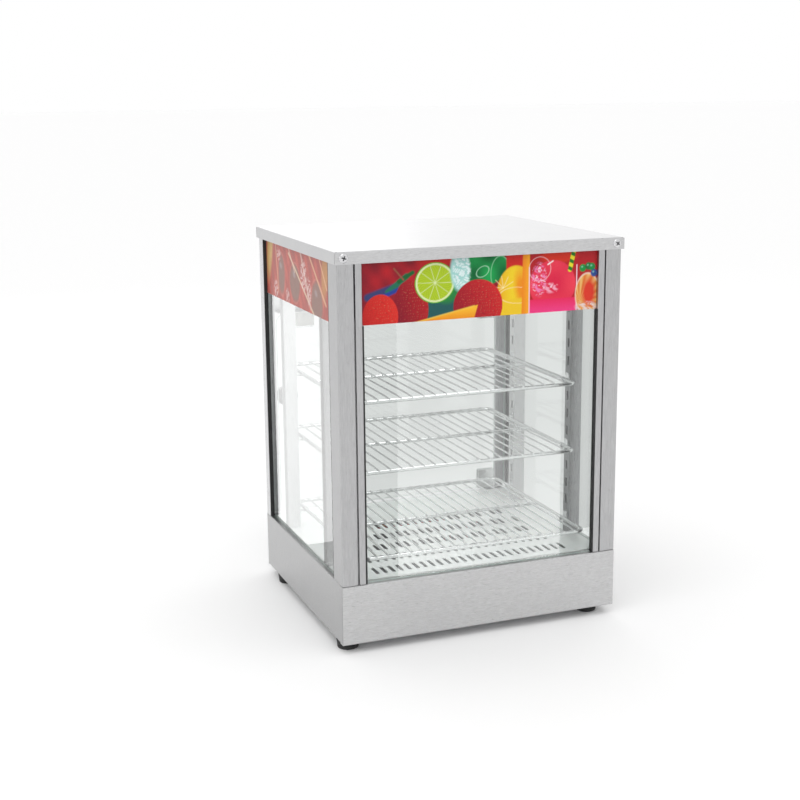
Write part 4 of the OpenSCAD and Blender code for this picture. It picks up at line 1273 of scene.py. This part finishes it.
# %% Lamp and gland
lamp_x, _, lamp_z = middle_of("indicator_lamp")
lamp_at = (lamp_x, REAR_Y, lamp_z)
lens = [(0.3, -18), (4.9, -18), (4.9, -0.05), (5.3, 0.3), (5.2, 2.2), (4.9, 3.0), (4.1, 3.8), (2.8, 4.3),
        (0.3, 4.45)]
finish(spun("lamp_lens", np.array(lens) * MM, lamp_at, (0, 1, 0), 64), AMBER_LENS,
       instead_of=["indicator_lamp"])
collar = [(5.35, 0.0), (6.5, 0.0), (6.5, 0.8), (6.2, 1.35), (5.9, 1.5), (5.35, 1.5)]
finish(spun_ring("lamp_collar", np.array(collar) * MM, lamp_at, (0, 1, 0), 64, 30), CHROME)

gland_x, _, gland_z = middle_of("cable_gland")
gland = [(4, -13.9), (8, -13.9), (8, -0.1), (11, 0), (11, 4.2), (10.2, 5), (9, 5.1), (9, 9.2), (8.6, 9.6),
         (9, 10), (9, 13), (8.4, 14.2), (7.0, 14.9), (5.4, 14.9), (4.4, 14.3), (4, 13)]


def hexagon(angle, r, h):
    """Keeps the gland's flange inside a hexagon, and cuts ten grooves in the dome nut."""
    flats = 11 * MM * math.cos(math.pi / 6) / np.cos(angle % (math.pi / 3) - math.pi / 6)
    flange = (h > -0.05 * MM) & (h < 5.05 * MM)
    nut = (h > 5.05 * MM) & (h < 14.3 * MM) & (r > 8.3 * MM)
    grooves = 0.7 * MM * np.clip(4 * np.cos(10 * angle) - 3, 0, 1)
    return np.where(flange, np.minimum(r, flats), np.where(nut, r - grooves, r))


gland_at = (gland_x, REAR_Y, gland_z)
finish(spun_ring("gland_moulding", np.array(gland) * MM, gland_at, (0, 1, 0), 180, 35, hexagon), BLACK_PLASTIC,
       instead_of=["cable_gland"])

# %% [markdown]
# ## Rear door
# The door is one slab of glass with round corners that turns on two clamps at its edge. A knob goes
# through it and a bent plate sits over its top edge, where the magnet in the case holds it.

# %% Door glass and knob
door_low, door_high = lo("door_glass"), hi("door_glass")
door_mid, door_half = (door_low + door_high) / 2, (door_high - door_low) / 2


def door_outline(inset, y):
    """Edge of the door glass across y, moved in a little near its two faces."""
    flat = rounded_rectangle(door_half[0] - inset, door_half[2] - inset, 15 * MM - inset, 12)
    return np.stack([flat[:, 0] + door_mid[0], np.full(len(flat), y), flat[:, 1] + door_mid[2]], 1)


edge = ((0.45 * MM, 0.0), (0.13 * MM, 0.13 * MM), (0.0, 0.45 * MM))
rows = [door_outline(inset, door_low[1] + deep) for inset, deep in edge]
rows += [door_outline(inset, door_high[1] - deep) for inset, deep in edge[::-1]]
door = true_flats(loft("door_pane", rows, 60))
finish(door, GLASS, "rear_door", ["door_glass"])
ground_edges(door, 1)

knob_x, knob_out, knob_z = middle_of("door_knob")
knob_at = (knob_x, door_high[1], knob_z)
reach = (knob_out - door_high[1]) / MM
turned = [(0.4, 0), (7.6, 0), (7.8, 0.6), (6.9, 1.6), (6.4, 4.5), (7.2, 6.4), (9.5, 8.0), (12.6, 9.2),
          (14.4, 10.2), (15, 11.6), (15, reach - 3.6), (14.5, reach - 1.9), (13.3, reach - 0.8),
          (11, reach - 0.25), (6, reach), (0.4, reach)]


def gripped(angle, r, h):
    """A fine ripple round the knob's rim."""
    return r - 0.22 * MM * (0.5 + 0.5 * np.cos(36 * angle)) * (r > 14.3 * MM)


knob = Pile()
knob.add(*spun_points(np.array(turned) * MM, knob_at, (0, 1, 0), 180, gripped))
inner = [(0.4, 0), (9, 0), (9, 2.6), (8.4, 4.0), (7, 4.8), (0.4, 5)]
knob.add(*spun_points(np.array(inner) * MM, (knob_x, door_low[1], knob_z), (0, -1, 0), 64))
finish(knob.solid("door_knob_turned", 40), BLACK_PLASTIC, "rear_door", ["door_knob"])

# %% Clamps and strike plate
low, high = lo("door_pivot_clamps"), hi("door_pivot_clamps")
clamps, heads = Pile(), Pile()
pin_x = high[0] - 6 * MM
for z0, z1, foot in ((door_low[2] - 1 * MM, door_low[2] + 28 * MM, -1),
                     (door_high[2] - 28 * MM, door_high[2] + 1 * MM, 1)):
    end, tip = (z0, low[2]) if foot < 0 else (z1, high[2])
    inner_end = end - foot * 1 * MM
    for corner, other, round_off, steps in (
            ((low[0], low[1], z0), (high[0], door_low[1], z1), 0.9, 4),
            ((low[0], door_high[1], z0), (high[0], high[1], z1), 0.9, 4),
            ((low[0], door_low[1] - 1 * MM, min(end, inner_end)),
             (high[0], door_high[1] + 1 * MM, max(end, inner_end)), 0.3, 2)):
        clamps.add(*rounded_box_points(corner, other, round_off * MM, steps))
    pin_l = abs(tip - end) + 0.2 * MM
    pin = [(0.2 * MM, 0), (1.5 * MM, 0), (2.0 * MM, 0.5 * MM), (2.0 * MM, pin_l), (0.2 * MM, pin_l)]
    clamps.add(*spun_points(pin, (pin_x, (door_low[1] + door_high[1]) / 2, tip), (0, 0, -foot), 32))
    for x in (low[0] + 7 * MM, high[0] - 7 * MM):
        screw_shape(heads, (x, high[1] - 0.75 * MM, (z0 + z1) / 2), (0, 1, 0),
                    2.6 * MM, 0.7 * MM, 1.2 * MM, 1.0 * MM, x * 40)
finish(true_flats(clamps.solid("door_clamp_pair", 50)), PLATED, "rear_door",
       ["door_pivot_clamps"])
finish(heads.solid("door_clamp_screws", 40), SCREW, "rear_door")

low, high = lo("door_strike_plate"), hi("door_strike_plate")
thin = 0.45 * MM
path = [(low[1] + thin / 2, low[2]), (low[1] + thin / 2, high[2] - thin / 2),
        (high[1] - thin / 2, high[2] - thin / 2), (high[1] - thin / 2, low[2])]
strike = folded_part("door_strike_fold", path, (low[0], high[0]), "x", 50, radius=0.6 * MM, thick=thin)
finish(strike, CHROME, "rear_door", ["door_strike_plate"])

# %% [markdown]
# ## Everything else that the CAD already shapes well
# Hidden and small pieces keep their CAD shape and get a proper finish.

# %% Dress the remaining nodes
dress(SHEATH, "heating_element")
dress(COPPER, "thermostat_bulb")
dress(GREY_PLASTIC, "thermostat_body")
dress(WHITE_PLASTIC, "terminal_block", "door_catch")
dress(RED_PLASTIC, "wiring")
dress(BLACK_PLASTIC, "gland_nut")
dress(CHROME, "door_pivot_brackets")

# %% [markdown]
# ## Studio
# A wide pale floor under an even white surround, as for a catalogue picture. Soft lamps above, at the
# left and behind give the metal its shading, and a weak one inside lifts the deck and the uprights.
# Cards do what a photographer's boards do: one lies on the floor in front and shows as a pale upright
# band in the front pane, one far behind whitens the roof, and one pales the left pane. Two grey boards
# behind the case are what is seen through the glass. From behind, those two are clear.

# %% Floor, surround and lamps
floor = mesh_object("studio_floor", [(-40, -40, 0), (40, -40, 0), (40, 40, 0), (-40, 40, 0)], [[0, 1, 2, 3]])
FLOOR, tree, shader = nodes_for("pale_floor", (0.985, 0.985, 0.985), roughness=0.8)
floor.data.materials.append(FLOOR)

bpy.context.scene.view_settings.view_transform = "Standard"
world = bpy.data.worlds.new("studio_surround")
bpy.context.scene.world = world
world.use_nodes = True
world.node_tree.nodes["Background"].inputs["Color"].default_value = (1.0, 1.0, 1.0, 1.0)
world.node_tree.nodes["Background"].inputs["Strength"].default_value = 1.0


def soft_lamp(name, location, target, size, power):
    """A square area lamp that faces a point."""
    data = bpy.data.lights.new(name, "AREA")
    data.size = size
    data.energy = power
    lamp = bpy.data.objects.new(name, data)
    lamp.location = location
    direction = Vector(target) - Vector(location)
    lamp.rotation_euler = direction.to_track_quat("-Z", "Y").to_euler()
    bpy.context.scene.collection.objects.link(lamp)
    return lamp


def only_on(source, receivers):
    """Lets a lamp or a card shine on the named objects only."""
    lit = bpy.data.collections.new(f"{source.name}_receivers")
    for receiver in receivers:
        lit.objects.link(bpy.data.objects[receiver])
    source.light_linking.receiver_collection = lit


soft_lamp("top_lamp", (-0.5, -0.9, 2.2), (0, 0, 0.2), 1.4, 6)
soft_lamp("left_lamp", (-2.0, -0.6, 1.2), (0, 0, 0.25), 1.0, 2.5)
soft_lamp("rear_lamp", (0.3, 2.4, 1.5), (0, 0, 0.25), 1.2, 3)
fill = soft_lamp("fill_lamp", (-0.02, -0.05, 0.45), (-0.02, -0.049, 0), 0.25, 0.7)
fill.visible_transmission = False
inside = ["deck_plate", "heat_shield_tray", "base_bottom_plate", "heating_element",
          "post_rear_left_fold", "post_rear_right_fold"]
inside += [obj.name for obj in bpy.data.objects if obj.name.startswith(("shelf_", "pilaster_"))]
only_on(fill, sorted(set(inside)))


# %% Cards
def card(name, corners, strength, receivers=(), through_glass=False, fall=None):
    """A glowing card that only mirrored rays meet, or only rays that went through glass.

    A card for mirrored rays is clear and adds its glow to what is behind it, for its receivers only.
    A card behind glass glows on its front and is clear from its back.
    fall gives (y_near, y_far, far_strength): the glow drops evenly to far_strength between the two y.
    """
    obj = mesh_object(name, corners, [[0, 1, 2, 3]])
    material = bpy.data.materials.new(name)
    material.use_nodes = True
    tree = material.node_tree
    tree.nodes.clear()
    glow = tree.nodes.new("ShaderNodeEmission")
    glow.inputs["Strength"].default_value = strength
    if fall:
        where = tree.nodes.new("ShaderNodeTexCoord")
        parts = tree.nodes.new("ShaderNodeSeparateXYZ")
        tree.links.new(where.outputs["Object"], parts.inputs["Vector"])
        drop = spread(tree, parts.outputs["Y"], fall[2], strength, fall[1], fall[0])
        tree.links.new(drop, glow.inputs["Strength"])
    out = tree.nodes.new("ShaderNodeOutputMaterial")
    clear = tree.nodes.new("ShaderNodeBsdfTransparent")
    if through_glass:
        both = tree.nodes.new("ShaderNodeMixShader")
        side = tree.nodes.new("ShaderNodeNewGeometry")
        tree.links.new(side.outputs["Backfacing"], both.inputs[0])
        tree.links.new(glow.outputs["Emission"], both.inputs[1])
        tree.links.new(clear.outputs["BSDF"], both.inputs[2])
    else:
        both = tree.nodes.new("ShaderNodeAddShader")
        tree.links.new(glow.outputs["Emission"], both.inputs[0])
        tree.links.new(clear.outputs["BSDF"], both.inputs[1])
    tree.links.new(both.outputs["Shader"], out.inputs["Surface"])
    obj.data.materials.append(material)
    obj.visible_camera = False
    obj.visible_diffuse = False
    obj.visible_glossy = not through_glass
    obj.visible_transmission = through_glass
    obj.visible_volume_scatter = False
    obj.visible_shadow = False
    if receivers:
        only_on(obj, receivers)
    return obj


def seen_in_front_pane(x, share):
    """Floor point in front that the camera sees mirrored in the front pane, straight above x there."""
    eye = camera.location
    pane_y = lo("front_glass")[1]
    return (x + share * (x - eye.x), pane_y - share * (pane_y - eye.y), 0.002)


BAND_LEFT, BAND_RIGHT, NEAR, FAR = -0.114, 0.112, 0.115, 1.60
card("front_card", [seen_in_front_pane(BAND_LEFT, NEAR), seen_in_front_pane(BAND_RIGHT, NEAR),
                    seen_in_front_pane(BAND_RIGHT, FAR), seen_in_front_pane(BAND_LEFT, FAR)],
     5.5, ["front_pane"], fall=(-0.50, -1.15, 2.2))
card("roof_card", [(0.0, 3.2, 0.1), (2.4, 3.2, 0.1), (2.4, 3.2, 1.9), (0.0, 3.2, 1.9)], 0.45, ["roof_pan"])
card("side_card", [(-1.8, 0.25, 0.002), (-0.22, 0.25, 0.002), (-0.22, 3.2, 0.002), (-1.8, 3.2, 0.002)], 1.35,
     ["left_pane"])
WALL_Y, WALL_FOOT_Y, WALL_FOOT_Z, WALL_GLOW = 0.40, 0.165, 0.136, 0.68
for name, near_y, near_z, far_z in (("wall_card", WALL_Y, WALL_FOOT_Z, 1.2),
                                    ("wall_foot_card", WALL_FOOT_Y, 0.001, WALL_FOOT_Z)):
    card(name, [(-0.7, near_y, near_z), (1.6, near_y, near_z), (1.6, WALL_Y, far_z), (-0.7, WALL_Y, far_z)],
         WALL_GLOW, through_glass=True)
